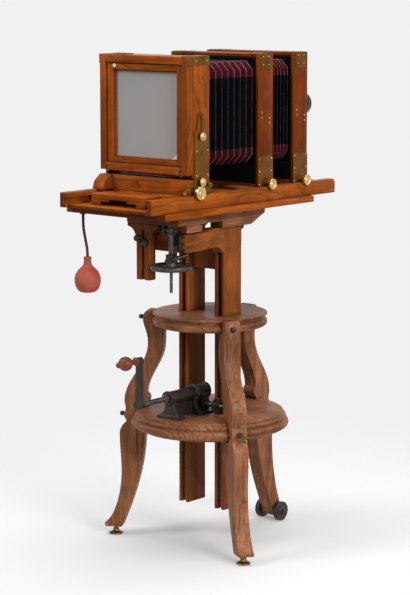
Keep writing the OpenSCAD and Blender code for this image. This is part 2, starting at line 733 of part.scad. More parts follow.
module lower_hinges() {
    color("dimgray") for (s = sides) {
        block([s * post_x - 15, post_y, hinge_z - 56], [s * post_x + 15, post_y + 4, hinge_z - 7]);
        for (e = sides) {
            c = s * post_x + e * 10.5;
            block([c - 4.5, post_y, hinge_z - 8], [c + 4.5, hinge_y - 3, hinge_z - 2]);
            difference() {
                rod_x(c - 4.5, c + 4.5, hinge_y, hinge_z, knuckle_r);
                rod_x(c - 6, c + 6, hinge_y, hinge_z, 2.5);
            }
        }
        rod_x(s * post_x - 16, s * post_x + 16, hinge_y, hinge_z, 2.5);
    }
}

module guide_wing_nut() {
    y1 = yoke_y0 - guide_t - gap * 2 - 1;
    color("dimgray") difference() {
        union() {
            rod_y(y1 - 10, y1, guide_x, stud_z, 10);
            for (s = sides) translate([guide_x, y1 - 8, stud_z]) rotate([0, s * 90 + 20, 0])
                translate([0, -3, 5]) rotate([-90, 0, 0]) linear_extrude(6)
                    polygon(concat([[-7, 0]], arc([0, -12], 9, 200, 340, 8), [[7, 0]]));
        }
        rod_y(y1 - 40, y1 + 5, guide_x, stud_z, 5 + fit);
    }
}

module tilt_screw() {
    color("gray") {
        translate([screw_x, screw_y, screw_z0]) cylinder(h = screw_len, r = rod_r);
        translate([screw_x, screw_y, hub_z1 + 2.5]) cylinder(h = screw_z1 - hub_z1 - 2.5, r = screw_r);
        block([screw_x - 8, screw_y - 8, screw_z1 - 2], [screw_x + 8, screw_y + 8, table_z - 7]);
        rod_x(screw_x - 17, screw_x + 17, screw_y, head_z, 4);
    }
}

module handwheel() {
    color("dimgray") translate([screw_x, screw_y, hand_z]) difference() {
        union() {
            translate([0, 0, -11]) cylinder(h = 11 + hub_z0 - hand_z - gap, r = 15);
            rotate_extrude() translate([hand_r, 0]) circle(rim_r);
            for (a = [0:90:270]) rotate([0, 0, a + 20]) rod_x(10, hand_r, 0, 0, 5);
        }
        translate([0, 0, -20]) cylinder(h = 40, r = rod_r + fit);
    }
}

module tilt_guide() {
    half = guide_w / 2;
    flare = half + 35;
    color("saddlebrown") translate([guide_x, guide_y, 0]) rotate([90, 0, 0]) linear_extrude(guide_t) polygon(concat(
        [[slot_w / 2, guide_z0]], [[half, guide_z0]], [[half, guide_z1 - 60]],
        bez([[half, guide_z1 - 60], [half + 2, guide_z1 - 30], [half + 12, guide_z1 - 14], [flare, guide_z1 - 12]], 8),
        [[flare, guide_z1]], [[-flare, guide_z1]], [[-flare, guide_z1 - 12]],
        bez([[-flare, guide_z1 - 12], [-half - 12, guide_z1 - 14], [-half - 2, guide_z1 - 30], [-half, guide_z1 - 60]], 8),
        [[-half, guide_z0]], [[-slot_w / 2, guide_z0]], [[-slot_w / 2, guide_z1 - 24]],
        arc([0, guide_z1 - 24], slot_w / 2, 180, 0, 8)));
}

// Bed

module tilt_table() {
    color("sienna") {
        side_plate(-table_w / 2, table_w / 2)
            polygon([[table_y0, table_z], [118, table_z], [137, table_z + 8], [137, board_z], [table_y0, board_z]]);
        for (s = sides) side_plate(s > 0 ? post_in : -table_w / 2, s > 0 ? table_w / 2 : -post_in)
            polygon([[-post_y - 20, post_z1 + gap], [hinge_y + 22, post_z1 + gap], [118, table_z],
                [-post_y - 20, table_z]]);
        block([-post_out, yoke_y0 + 8, yoke_z1 + 4], [post_out, yoke_y0 + 76, table_z]);
    }
}

module table_irons() {
    cheek_in = 8 + 1.5;
    color("dimgray") {
        for (s = sides) {
            block([s * post_x - 5.5, hinge_y, post_z1 - 3.4], [s * post_x + 5.5, hinge_y + 20, post_z1 + gap]);
            knuckles(s * post_x - 5.5, s * post_x + 5.5);
        }
        for (e = sides) difference() {
            block([screw_x + e * (cheek_in + 2.5) - 2.5, screw_y - 23, table_z - 27],
                [screw_x + e * (cheek_in + 2.5) + 2.5, screw_y + 14, table_z]);
            block([screw_x - 30, screw_y - 18, head_z - 5.5], [screw_x + 30, screw_y + 6, head_z + 5.5]);
        }
    }
}

module bed_board() {
    floor_z1 = rail_z0 + floor_t;
    color("sienna") {
        difference() {
            block([-rail_out - board_lip, board_y0, board_z], [rail_out + board_lip, board_y0 + board_len, rail_z0]);
            translate([nipple[0], nipple[1], board_z - 1]) cylinder(h = 12, r = 4);
        }
        block([-rail_in, bed_y0 + 12, rail_z0], [rail_in, bed_y1 - 60, floor_z1]);
        block([-rail_in, bed_y1 - 44, rail_z0 + 3], [rail_in, bed_y1 - 18, rail_z1 - 6]);
        block([-rail_in, 96, floor_z1], [rail_in, 130, floor_z1 + 12]);
    }
}

// One side's rail as an outline in the (y, z) plane, cut at the splice
module rail_outline(front) {
    scarf = 43;
    if (front) polygon([[splice_y + scarf + gap, rail_z0], [bed_y1, rail_z0], [bed_y1, rail_z1 - 10],
        [bed_y1 - 7, rail_z1], [splice_y + gap, rail_z1]]);
    else polygon([[bed_y0, rail_z0], [splice_y + scarf, rail_z0], [splice_y, rail_z1], [bed_y0, rail_z1]]);
}

module bed_rails() {
    color("chocolate") for (s = sides) for (front = [false, true]) difference() {
        side_plate(s > 0 ? rail_in : -rail_out, s > 0 ? rail_out : -rail_in) rail_outline(front);
        block([s > 0 ? rail_in - 1 : -rail_in - tongue_d, bed_y0 - 1, tongue_z0],
            [s > 0 ? rail_in + tongue_d : -rail_in + 1, bed_y1 - 50, tongue_z0 + tongue_h]);
        translate([s * rail_out, bed_y0, rail_z0 - 1]) rotate([0, 0, 45]) translate([-3.5, -3.5, 0]) cube([7, 7, 60]);
        block([s * (focus_rack_x + focus_rack_w / 2) - focus_rack_w / 2, focus_rack_y0, rail_z1 - 6],
            [s * (focus_rack_x + focus_rack_w / 2) + focus_rack_w / 2, focus_rack_y1, rail_z1 + 1]);
    }
}

module focus_racks() {
    color("gold") for (s = sides)
        side_plate(s * (focus_rack_x + focus_rack_w / 2) - focus_rack_w / 2,
            s * (focus_rack_x + focus_rack_w / 2) + focus_rack_w / 2)
            translate([focus_y, focus_pitch_z])
                rack_outline(focus_m, focus_rack_y0 - focus_y, focus_rack_y1 - focus_y, 3.65, 0.15);
}

module air_nipple() {
    color("gold") translate([nipple[0], nipple[1], 0]) difference() {
        union() {
            translate([0, 0, board_z - 6]) cylinder(h = 6, r = 9);
            translate([0, 0, hose_route[0][2]]) cylinder(h = board_z + 10 - hose_route[0][2], r = 4);
            translate([0, 0, hose_route[0][2]]) cylinder(h = 8, r = hose_d / 2);
        }
        translate([0, 0, hose_route[0][2] - 1]) cylinder(h = 40, r = 1.5);
    }
}

// Tube swept along a route by rings of n sides
module swept_tube(route, r, n = 10) {
    last = len(route) - 1;
    function along(i) = let (d = route[min(i + 1, last)] - route[max(i - 1, 0)]) d / norm(d);
    function ring(i) = let (t = along(i), u = cross(t, [0, 1, 0]) / norm(cross(t, [0, 1, 0])), v = cross(t, u))
        [for (k = [0:n - 1]) route[i] + r * (cos(360 * k / n) * u + sin(360 * k / n) * v)];
    points = [for (i = [0:last]) each ring(i)];
    walls = [for (i = [0:last - 1]) for (k = [0:n - 1]) let (a = i * n + k, b = i * n + (k + 1) % n)
        each [[a, b, b + n], [a, b + n, a + n]]];
    caps = [for (k = [1:n - 2]) each [[0, k + 1, k], [last * n, last * n + k, last * n + k + 1]]];
    polyhedron(points, concat(walls, caps));
}

module air_hose() {
    color("firebrick") swept_tube(hose_route, hose_d / 2);
}

module air_bulb() {
    color("indianred") translate([bulb_top[0], bulb_top[1], bulb_top[2] - 104]) rotate_extrude() polygon(concat(
        [[0, 0]], bez([[0, 0], [bulb_r * 0.75, 0], [bulb_r, 18], [bulb_r, 38]], 8),
        bez([[bulb_r, 38], [bulb_r, 62], [13, 70], [9, 92]], 10), [[10, 96]], [[10, 102]], [[8, 104]], [[0, 104]]));
}

// Rear standard

// Sliding slab, its front part level with the rails, and the handle block with its hand hole
module tailboard() {
    hole_w = 139;
    color("chocolate") difference() {
        union() {
            block([-rail_in + gap, slab_y0, tail_z0 + 2], [rail_in - gap, base_y0 + 1, tongue_z0 + tongue_h + 2]);
            block([-rail_in + gap, base_y0, tail_z0 + 2], [rail_in - gap, tail_y1, rail_z1 - 1]);
            block([-rail_in + gap, base_y0 + 4, rail_z1 - 2], [rail_in - gap, rear_y - 4, base_z0]);
            block([-rail_in - tongue_d + gap, slab_y0, tongue_z0 + gap],
                [rail_in + tongue_d - gap, tail_y1, tongue_z0 + tongue_h - gap]);
            block([-tail_block_x, tail_y0, tail_z0], [tail_block_x, tail_block_y1, rail_z1 - 1]);
        }
        block([-hole_w / 2, tail_y0 - 1, tail_z0 - 1], [hole_w / 2, tail_y0 + 50, tail_z0 + 11]);
        block([-hole_w / 4, tail_y0 - 1, tail_z0 - 1], [hole_w / 4, tail_y0 + 50, tail_z0 + 18]);
    }
}

module rear_base_board() {
    color("chocolate") {
        difference() {
            block([-std_x, base_y0, base_z0], [std_x, rear_y, base_z0 + base_h]);
            rod_x(-std_x - 1, std_x + 1, focus_y, focus_z, 5 + fit);
            for (s = sides) block([s * (focus_rack_x + focus_rack_w / 2) - 4, focus_y - 11, base_z0 - 1],
                [s * (focus_rack_x + focus_rack_w / 2) + 4, focus_y + 11, focus_z + 11]);
            for (s = sides) rod_x(s * (std_x - 10) - 11, s * (std_x - 10) + 11, base_knob_y, base_knob_z, 3 + fit);
        }
        side_plate(-std_x, -std_x + 42)
            polygon([[base_y0, base_z0 + 2], [base_y0 - 42, base_z0 + 2], [base_y0 - 34, base_z0 + 24],
                [base_y0 - 10, base_z0 + base_h], [base_y0, base_z0 + base_h]]);
    }
}

module rear_straps() {
    z0 = rail_z1 + 2;
    slot_z0 = rise_z - 6;
    slot_z1 = rise_z + rise + 6;
    wide = rear_y - 3;
    back = rear_y - std_d + 3;
    shoulder_z = rise_z + 2;
    neck = 13;
    color("gold") for (s = sides) difference() {
        union() {
            side_plate(s > 0 ? strap_x : -strap_x - strap_t, s > 0 ? strap_x + strap_t : -strap_x) polygon(concat(
                [[back, z0]], [[wide, z0]], [[wide, shoulder_z]],
                bez([[wide, shoulder_z], [wide - 2, shoulder_z + 14], [rise_y + neck + 2, shoulder_z + 12],
                    [rise_y + neck, shoulder_z + 28]], 6),
                arc([rise_y, slot_z1], neck, 0, 180, 12),
                bez([[rise_y - neck, shoulder_z + 28], [rise_y - neck - 2, shoulder_z + 12],
                    [back, shoulder_z + 12], [back, shoulder_z]], 6)));
            side_plate(s > 0 ? std_x : -strap_x - strap_t, s > 0 ? strap_x + strap_t : -std_x)
                polygon(concat([[-316, z0], [-199, z0]], arc([-208, z0 + 24], 9, 0, 90, 6), [[-262, z0 + 34]],
                    bez([[-262, z0 + 34], [-274, z0 + 22], [-296, z0 + 32], [-304, z0 + 14]], 6), [[-316, z0 + 8]]));
            rod_x(s * (strap_x + strap_t + 1.5) - 2.5, s * (strap_x + strap_t + 1.5) + 2.5, -291, z0 + 11, 8);
            translate([s * (strap_x + strap_t - eps), -208, z0 + 24]) rotate([0, s * 90, 0]) turned_knob(8, 12);
        }
        side_plate(-strap_x - 10, strap_x + 10) polygon(concat(arc([rise_y, slot_z0], 3.3, 180, 360, 8),
            arc([rise_y, slot_z1], 3.3, 0, 180, 8)));
        rod_x(-strap_x - 10, strap_x + 10, focus_y, focus_z, 5.5);
        rod_x(-strap_x - 10, strap_x + 10, base_knob_y, base_knob_z, 3 + fit);
    }
}

module focus_shaft() {
    knob_x = strap_x + strap_t + 1;
    color("gold") {
        rod_x(-knob_x - 2, knob_x + 2, focus_y, focus_z, 5);
        for (s = sides) {
            translate([s * knob_x, focus_y, focus_z]) rotate([0, s * 90, 0])
                disc_knob(focus_knob_r, 6.5, rail_out + 1 - knob_x, 20);
            translate([s * (focus_rack_x + focus_rack_w / 2) - 2.5, focus_y, focus_z])
                rotate([90, 0, 90]) rotate([0, 0, -90]) difference() {
                    linear_extrude(5) gear_outline(focus_m, focus_n, focus_m, 1.25 * focus_m, 0.15);
                    translate([0, 0, -1]) cylinder(h = 7, r = 5 - eps);
                }
        }
    }
}

module rise_knobs() {
    color("gold") for (s = sides)
        side_knob(s, strap_x + strap_t + gap, rise_y, rise_z, rear_knob_r, 14, 3, 16);
}

module base_knobs() {
    color("gold") for (s = sides)
        side_knob(s, strap_x + strap_t + gap, base_knob_y, base_knob_z, rear_knob_r, 15, 3, 20);
}

// Square box frame of boards, open along Y
module box_frame(y0, y1, z0, sill_z) {
    difference() {
        block([-std_x, y0, z0], [std_x, y1, std_z1]);
        block([-open_x, y0 - 1, sill_z], [open_x, y1 + 1, open_z1]);
    }
}

module rear_frame() {
    color("chocolate") difference() {
        box_frame(rear_y - std_d, rear_y, frame_z0, open_z0);
        for (s = sides) rod_x(s * (std_x - 8) - 9, s * (std_x - 8) + 9, rise_y, rise_z, 3 + fit);
    }
}

// Brass plate on a side face, of thickness brass_t
module side_brass(y0, y1, z0, z1) {
    for (s = sides) block([s > 0 ? std_x : -std_x - brass_t, y0, z0], [s > 0 ? std_x + brass_t : -std_x, y1, z1]);
}

module rear_brass() {
    color("gold") {
        side_brass(screen_y0, rear_y, std_z1 - 24, std_z1 + brass_t);
        for (s = sides) block([s > 0 ? std_x - 44 : -std_x - brass_t, rear_y - std_d, std_z1],
            [s > 0 ? std_x + brass_t : -std_x + 44, rear_y, std_z1 + brass_t]);
        translate([-137, rear_y - std_d, std_z1]) {
            cube([44, 40, 3]);
            translate([6, 6, 0]) cube([30, 10, 4.5]);
        }
        for (s = sides) {
            side_plate(s * lug_x - lug_w / 2, s * lug_x + lug_w / 2) polygon(concat(
                [[screen_y1 + gap, frame_z0 + 1]], [[screen_y1 + gap, screen_z0 - 2]], [[screen_pin_y + 4, screen_z0 - 2]],
                arc([screen_pin_y, screen_pin_z], 4, 0, 180, 8), [[screen_pin_y - 4, frame_z0 + 4]],
                [[screen_pin_y, frame_z0 + 1]]));
            rod_x(s * lug_x - lug_w, s * lug_x + lug_w, screen_pin_y, screen_pin_z, screen_pin_r);
        }
    }
}

module screen_frame() {
    stile = 22;
    color("chocolate") difference() {
        block([-std_x + gap, screen_y0, screen_z0], [std_x - gap, screen_y1, std_z1]);
        block([-glass_w / 2, screen_y0 - 1, screen_zc - glass_h / 2],
            [glass_w / 2, screen_y1 + 1, screen_zc + glass_h / 2]);
        block([-std_x + stile, screen_y0 - 1, screen_z0 + stile], [std_x - stile, screen_y0 + 6, std_z1 - stile]);
        block([-glass_w / 2 - 5, screen_y1 - 5, screen_zc - glass_h / 2 - 5],
            [glass_w / 2 + 5, screen_y1 + 1, screen_zc + glass_h / 2 + 5]);
        for (s = sides) {
            block([s * lug_x - lug_w / 2 - gap, screen_y0 - 1, screen_z0 - 1],
                [s * lug_x + lug_w / 2 + gap, screen_y0 + 12, screen_z0 + 12]);
            rod_x(s * lug_x - lug_w - gap, s * lug_x + lug_w + gap, screen_pin_y, screen_pin_z, screen_pin_r + fit);
        }
        side_plate(-std_x, std_x) polygon([[screen_y1 - 2, screen_z0 - 1], [screen_y1 + 1, screen_z0 - 1],
            [screen_y1 + 1, screen_z0 + 12], [screen_y1, screen_z0 + 12]]);
    }
}

module ground_glass() {
    color("lightgray", 0.7) block([-glass_w / 2 - 5, screen_y1 - 5, screen_zc - glass_h / 2 - 5],
        [glass_w / 2 + 5, screen_y1 - 2, screen_zc + glass_h / 2 + 5]);
}

// Middle and front standards

module middle_frame() {
    color("chocolate") difference() {
        box_frame(middle_y, middle_y + std_d, base_z0, open_z0);
        for (s = sides) rod_x(s * (std_x - 10) - 11, s * (std_x - 10) + 11, middle_y + clamp_in, clamp_z, 4 + fit);
    }
}

// Brass shoes, top straps and their returns on a standard
module standard_brass(y0) {
    for (s = sides) difference() {
        side_plate(s > 0 ? std_x : -std_x - 2, s > 0 ? std_x + 2 : -std_x)
            polygon([[y0, base_z0], [y0 + std_d, base_z0], [y0 + std_d, base_z0 + 84], [y0 + std_d - 8, base_z0 + 90],
                [y0 + 8, base_z0 + 90], [y0, base_z0 + 84]]);
        rod_x(-std_x - 9, std_x + 9, y0 + clamp_in, clamp_z, 4 + fit);
    }
    side_brass(y0 + 12, y0 + 56, std_z1 - 46, std_z1 + 1);
    for (s = sides) block([s > 0 ? std_x - 50 : -std_x - brass_t, y0 + 12, std_z1],
        [s > 0 ? std_x + brass_t : -std_x + 50, y0 + 56, std_z1 + 1]);
}

module middle_brass() {
    color("gold") standard_brass(middle_y);
}

module middle_knobs() {
    color("gold") for (s = sides)
        side_knob(s, std_x + 2 + gap, middle_y + clamp_in, clamp_z, clamp_knob_r, 21, 4, 20, true);
}

module front_frame() {
    panel_y = front_y + std_d - 14;
    hole = lens_board / 2 - 8;
    color("chocolate") difference() {
        union() {
            box_frame(front_y, front_y + std_d, base_z0, open_z0);
            block([-open_x - eps, panel_y, open_z0 - eps], [open_x + eps, front_y + std_d, open_z1 + eps]);
        }
        block([-hole, panel_y - 1, axis_z - hole], [hole, front_y + std_d + 1, axis_z + hole]);
        for (s = sides) rod_x(s * (std_x - 10) - 11, s * (std_x - 10) + 11, front_y + clamp_in, clamp_z, 4 + fit);
    }
}

module front_brass() {
    color("gold") standard_brass(front_y);
}

module front_knobs() {
    color("gold") for (s = sides)
        side_knob(s, std_x + 2 + gap, front_y + clamp_in, clamp_z, clamp_knob_r, 21, 4, 20, true);
}

module lens_board_panel() {
    half = lens_board / 2;
    color("saddlebrown") difference() {
        union() {
            block([-half, lens_y - 4, axis_z - half], [half, lens_y + 4, axis_z + half]);
            block([-half + 20, lens_y + 4 - eps, axis_z - half + 20], [half - 20, lens_y + 8, axis_z + half - 20]);
        }
        rod_y(lens_y - 10, lens_y + 20, 0, axis_z, lens_r);
    }
}

module lens_barrel() {
    y0 = lens_y - 12;
    y1 = front_y + std_d + lens_len;
    flange_y = lens_y + 8;
    color("darkslategray") translate([0, 0, axis_z]) rotate([-90, 0, 0]) rotate_extrude() polygon(concat(
        [[lens_r - 3, y0]], [[lens_r, y0]], [[lens_r, flange_y]], [[lens_r + 20, flange_y]],
        [[lens_r + 20, flange_y + 3]], [[lens_r + 17, flange_y + 5]], [[lens_r + 3, flange_y + 5]],
        [[lens_r + 3, flange_y + 14]], [[lens_r, flange_y + 16]], [[lens_r, y1 - 62]], [[lens_r + 2, y1 - 60]],
        [[lens_r + 2, y1 - 46]], [[hood_r, y1 - 44]], [[hood_r, y1]], [[hood_r - 2.5, y1]], [[hood_r - 3, y1 - 34]],
        [[lens_r - 3, y1 - 36]]));
}

module lens_glasses() {
    y1 = front_y + std_d + lens_len;
    r = lens_r - 3;
    color("lightcyan", 0.5) for (y = [lens_y - 8, y1 - 52]) translate([0, 0, axis_z]) rotate([-90, 0, 0])
        rotate_extrude() polygon(concat([[0, y]], bez([[0, y], [r / 2, y], [r - 4, y + 1.5], [r, y + 3]], 5),
            [[r, y + 8]], bez([[r, y + 8], [r - 4, y + 9.5], [r / 2, y + 11], [0, y + 11]], 5)));
}

module shutter_box() {
    half = flap_half + 16;
    hole = flap_half - 8;
    y1 = lens_y - 4;
    color("dimgray") {
        difference() {
            block([-half, shutter_y, axis_z - half], [half, y1, axis_z + half]);
            block([-hole, shutter_y - 1, axis_z - hole], [hole, y1 + 1, axis_z + hole]);
        }
        for (s = sides) block([s * (flap_half + 3) - 2.5, shutter_y - 8, flap_z - 3],
            [s * (flap_half + 3) + 2.5, shutter_y, flap_z + 3]);
        rod_x(-flap_half - 3, flap_half + 3, flap_y, flap_z, 1.5);
    }
}

module shutter_flap() {
    color("black") difference() {
        union() {
            block([-flap_half, shutter_y - 4, axis_z - flap_half], [flap_half, shutter_y - gap, flap_z]);
            rod_x(-flap_half, flap_half, flap_y, flap_z, 3.2);
        }
        rod_x(-flap_half - 1, flap_half + 1, flap_y, flap_z, 1.5 + fit);
    }
}

// Square with cut corners
module eight_sides(half, cut) {
    polygon([[half, half - cut], [half - cut, half], [cut - half, half], [-half, half - cut], [-half, cut - half],
        [cut - half, -half], [half - cut, -half], [half, cut - half]]);
}

// Solid body of folds along +Z
module folds(length, n, half, depth, cut) {
    p = length / n;
    low = half - depth;
    for (i = [0:n - 1]) {
        translate([0, 0, i * p]) linear_extrude(p / 2 + eps, scale = half / low) eight_sides(low, cut * low / half);
        translate([0, 0, (i + 0.5) * p]) linear_extrude(p / 2 + eps, scale = low / half) eight_sides(half, cut);
    }
}

module bellows(y0, y1, n) {
    wall = 3;
    length = y1 - y0 - 2 * gap;
    color("black") translate([0, y0 + gap, axis_z]) rotate([-90, 0, 0]) difference() {
        folds(length, n, bellows_half, fold_d, bellows_cut);
        translate([0, 0, -1]) linear_extrude(length + 2) eight_sides(bellows_half - fold_d - wall, bellows_cut - 6);
    }
}

module bellows_rear() {
    bellows(rear_y, middle_y, rear_folds);
}

module bellows_front() {
    bellows(middle_y + std_d, front_y, front_folds);
}

leg(0);  // leg_left
leg(1);  // leg_right
leg(2);  // leg_wheel
upper_plate();
lower_plate();
stand_bolts();
gear_bracket();
foot(0);  // foot_left
foot(1);  // foot_right
wheel(-1);  // wheel_left
wheel(1);  // wheel_right
cross_shaft();
pinions();
worm_wheel();
crank_shaft();
worm();
crank_arm();
crank_handle();
posts();
racks();
post_cross_rail();
yoke_arms();
yoke_front_board();
yoke_irons();
lower_hinges();
guide_wing_nut();
tilt_screw();
handwheel();
tilt_guide();
tilt_table();
table_irons();
bed_board();
bed_rails();
focus_racks();
air_nipple();
air_hose();
air_bulb();
tailboard();
rear_base_board();
rear_straps();
focus_shaft();
rise_knobs();
base_knobs();
rear_frame();
rear_brass();
screen_frame();
ground_glass();
middle_frame();
middle_brass();
middle_knobs();
front_frame();
front_brass();
front_knobs();
lens_board_panel();
lens_barrel();
lens_glasses();
shutter_box();
shutter_flap();
bellows_rear();
bellows_front();
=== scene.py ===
"""Looks of a studio camera on its three-legged stand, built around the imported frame."""

import json
import math

import bmesh
import bpy
from mathutils import Matrix, Vector


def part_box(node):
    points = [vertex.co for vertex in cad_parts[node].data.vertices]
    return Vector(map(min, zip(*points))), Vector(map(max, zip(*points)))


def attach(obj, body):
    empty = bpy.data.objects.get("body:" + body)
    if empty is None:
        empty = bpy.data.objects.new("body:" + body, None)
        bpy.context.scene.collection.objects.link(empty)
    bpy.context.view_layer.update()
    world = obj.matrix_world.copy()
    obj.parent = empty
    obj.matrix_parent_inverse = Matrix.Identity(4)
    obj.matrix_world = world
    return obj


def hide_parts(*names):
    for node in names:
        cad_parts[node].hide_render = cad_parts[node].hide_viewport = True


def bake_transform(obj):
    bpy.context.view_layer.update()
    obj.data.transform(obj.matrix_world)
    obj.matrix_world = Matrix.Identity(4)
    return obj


bl_info = {
    "name": "Studio camera on its stand",
    "version": (1, 0, 0),
    "blender": (4, 5, 0),
    "location": "View3D > Sidebar > Studio camera",
    "description": "Dresses the studio camera, its bed, column and stand",
    "category": "Object",
}

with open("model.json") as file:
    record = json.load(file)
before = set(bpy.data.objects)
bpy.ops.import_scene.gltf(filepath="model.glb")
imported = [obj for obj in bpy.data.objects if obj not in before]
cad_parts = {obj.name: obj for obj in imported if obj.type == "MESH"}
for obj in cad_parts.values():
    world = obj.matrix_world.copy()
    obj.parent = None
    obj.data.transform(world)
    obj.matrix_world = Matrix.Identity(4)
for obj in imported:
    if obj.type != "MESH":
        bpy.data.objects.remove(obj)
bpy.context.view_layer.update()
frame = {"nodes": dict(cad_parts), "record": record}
NODES = frame["nodes"]
BODY_OF = {node: body for body, nodes in frame["record"]["behaviour"]["bodies"].items() for node in nodes}
SLOT_OF = {row["node"]: row["material_slot"] for row in frame["record"]["subparts"]}
MM = 0.001
X, Y, Z = Vector((1, 0, 0)), Vector((0, 1, 0)), Vector((0, 0, 1))
SIDES = (-1, 1)
SIDE_NAMES = ((1, "right"), (-1, "left"))

# Camera of the photograph's view
VIEW_AZIMUTH, VIEW_PITCH = math.radians(40.58), math.radians(9.07)
VIEW_TARGET = Vector((-0.0191, 0, 0.7392))
VIEW_DISTANCE = 6.0338
VIEW_LENS = 176.98

# Route of the air hose, from the nipple to the bulb
HOSE_ROUTE = [(-150, -385, 1002), (-150, -385, 990), (-149, -385, 976), (-147, -384, 960), (-144, -383, 944),
              (-141, -382, 928), (-139, -381, 914), (-138, -381, 903), (-138, -381, 892)]
HOSE_DIAMETER = 8 * MM

# Head of a small screw: rings as a share of its radius and a height, then its top and its slot, whose
# reach is a share of the radius; the slot is a dark bar in the head, painted shade where the cut would be
HEAD_PROFILE = ((1.0, -0.6 * MM), (1.0, 0.2 * MM), (0.9, 0.7 * MM), (0.55, 1.0 * MM))
HEAD_STEPS = 20
HEAD_HEIGHT = 1.05 * MM
SLOT_WIDTH, SLOT_DEPTH, SLOT_HEIGHT = 0.7 * MM, 0.8 * MM, 0.7 * MM
SLOT_REACH = 1.7

# Walls of the three standards, the top of their sills, and how far linings and panels lie back
FRAME_WALL = 18 * MM
SILL_TOP = 1.149
INSET = 0.8 * MM

# Opening of the ground glass: half its width, and how far the frame laps over the glass below
GLASS_HALF, GLASS_LAP = 118 * MM, 1.5 * MM

# Even faces along a side of a bellows ring, beside its two narrow ones next to the corners
SIDE_FACES = 12


# Sizes and colours that a user would change


def colour_property(name, text, value):
    return bpy.props.FloatVectorProperty(name=name, description=text, subtype="COLOR", size=3, min=0, max=1,
                                         default=value)


def length_property(name, text, value, low, high):
    return bpy.props.FloatProperty(name=name, description=text, unit="LENGTH", precision=4, default=value,
                                   min=low, max=high)


def light_property(name, text, value):
    return bpy.props.FloatProperty(name=name, description=text, default=value, min=0)


def folds_property(name, text, value, low, high):
    return bpy.props.IntProperty(name=name, description=text, default=value, min=low, max=high)


class WoodSettings(bpy.types.PropertyGroup):
    """Colours and edges of the wooden pieces"""

    camera_light: colour_property("Camera wood, light", "Lightest grain of the camera and bed",
                                  (0.56, 0.142, 0.014))
    camera_mid: colour_property("Camera wood", "Main colour of the camera and bed", (0.35, 0.074, 0.005))
    camera_dark: colour_property("Camera wood, dark", "Darkest grain of the camera and bed",
                                 (0.060, 0.010, 0.001))
    # The middle and front frames use a darker copy of the camera wood: painted shade, darker than the rear
    # frame
    shaded_wood_light: colour_property("Shaded wood, light", "Lightest grain of the middle and front frames",
                                (0.31, 0.062, 0.004))
    shaded_wood_mid: colour_property("Shaded wood", "Main colour of the middle and front frames",
                              (0.185, 0.032, 0.0015))
    stand_light: colour_property("Stand wood, light", "Lightest grain of the stand", (0.60, 0.262, 0.135))
    stand_mid: colour_property("Stand wood", "Main colour of the stand", (0.29, 0.105, 0.045))
    stand_dark: colour_property("Stand wood, dark", "Darkest grain of the stand", (0.045, 0.013, 0.005))
    column_light: colour_property("Column wood, light", "Lightest grain of posts and yoke",
                                  (0.50, 0.155, 0.030))
    column_mid: colour_property("Column wood", "Main colour of posts and yoke", (0.30, 0.078, 0.012))
    column_dark: colour_property("Column wood, dark", "Darkest grain of posts and yoke", (0.050, 0.012, 0.003))
    edge: length_property("Rounded edge", "Radius that the wooden edges are eased to", 0.0011, 0.0003, 0.003)


class MetalSettings(bpy.types.PropertyGroup):
    """Colours of the metal fittings"""

    brass: colour_property("Brass", "Bright brass of knobs and worn edges", (0.76, 0.52, 0.21))
    brass_dull: colour_property("Dull brass", "Aged brass of the plates", (0.085, 0.028, 0.004))
    brass_plate: colour_property("Plate brass", "Rubbed brass of plates and straps", (0.27, 0.115, 0.022))
    iron: colour_property("Iron", "Painted iron", (0.016, 0.011, 0.009))
    iron_worn: colour_property("Worn iron", "Bare iron at the worn edges", (0.14, 0.105, 0.080))
    screw_radius: length_property("Screw head", "Radius of the small screws' heads", 0.0027, 0.001, 0.005)


class SoftSettings(bpy.types.PropertyGroup):
    """Bellows, hose and bulb"""

    leather: colour_property("Bellows", "Black sides of the bellows", (0.0006, 0.0006, 0.0009))
    corners: colour_property("Bellows corners", "Dark red corners of the bellows", (0.034, 0.0028, 0.0065))
    rubber: colour_property("Rubber", "Faded red rubber of the bulb", (0.41, 0.076, 0.043))
    hose: colour_property("Hose", "Dark maroon rubber of the hose", (0.075, 0.014, 0.010))
    rear_folds: folds_property("Rear folds", "Folds of the rear bellows", 8, 4, 16)
    front_folds: folds_property("Front folds", "Folds of the front bellows", 6, 3, 10)


class StageSettings(bpy.types.PropertyGroup):
    """Lamps and ground"""

    key_watts: light_property("Key lamp", "Power of the key lamp", 360)
    fill_watts: light_property("Fill lamp", "Power of the fill lamp", 330)
    top_watts: light_property("Top lamp", "Power of the top lamp", 330)
    sky: light_property("Sky", "Strength of the light from all round", 0.17)
    ground: colour_property("Ground", "Colour of the floor", (0.735, 0.735, 0.735))
    backdrop: colour_property("Backdrop", "Even tone behind the object", (0.88, 0.88, 0.88))


# Shader helpers


def put(tree, kind, settings=None, **inputs):
    """Adds a shader node; an input is a value or a socket, and its name has _ for a space."""
    node = tree.nodes.new(kind)
    for key, value in (settings or {}).items():
        setattr(node, key, value)
    for key, value in inputs.items():
        numbered = key[0] == "n" and key[1:].isdigit()
        socket = node.inputs[int(key[1:]) if numbered else key.replace("_", " ")]
        if isinstance(value, bpy.types.NodeSocket):
            tree.links.new(value, socket)
        else:
            socket.default_value = value
    return node


def rgb(colour):
    return (*colour[:3], 1)


def mix(tree, factor, a, b, blend="MIX"):
    node = put(tree, "ShaderNodeMix", {"data_type": "RGBA", "blend_type": blend}, n0=factor, n6=a, n7=b)
    return node.outputs[2]


def maths(tree, operation, a, b=0.0, clamp=False):
    return put(tree, "ShaderNodeMath", {"operation": operation, "use_clamp": clamp}, n0=a, n1=b).outputs[0]


def times(tree, a, b, clamp=False):
    return maths(tree, "MULTIPLY", a, b, clamp)


def plus(tree, a, b, clamp=False):
    return maths(tree, "ADD", a, b, clamp)


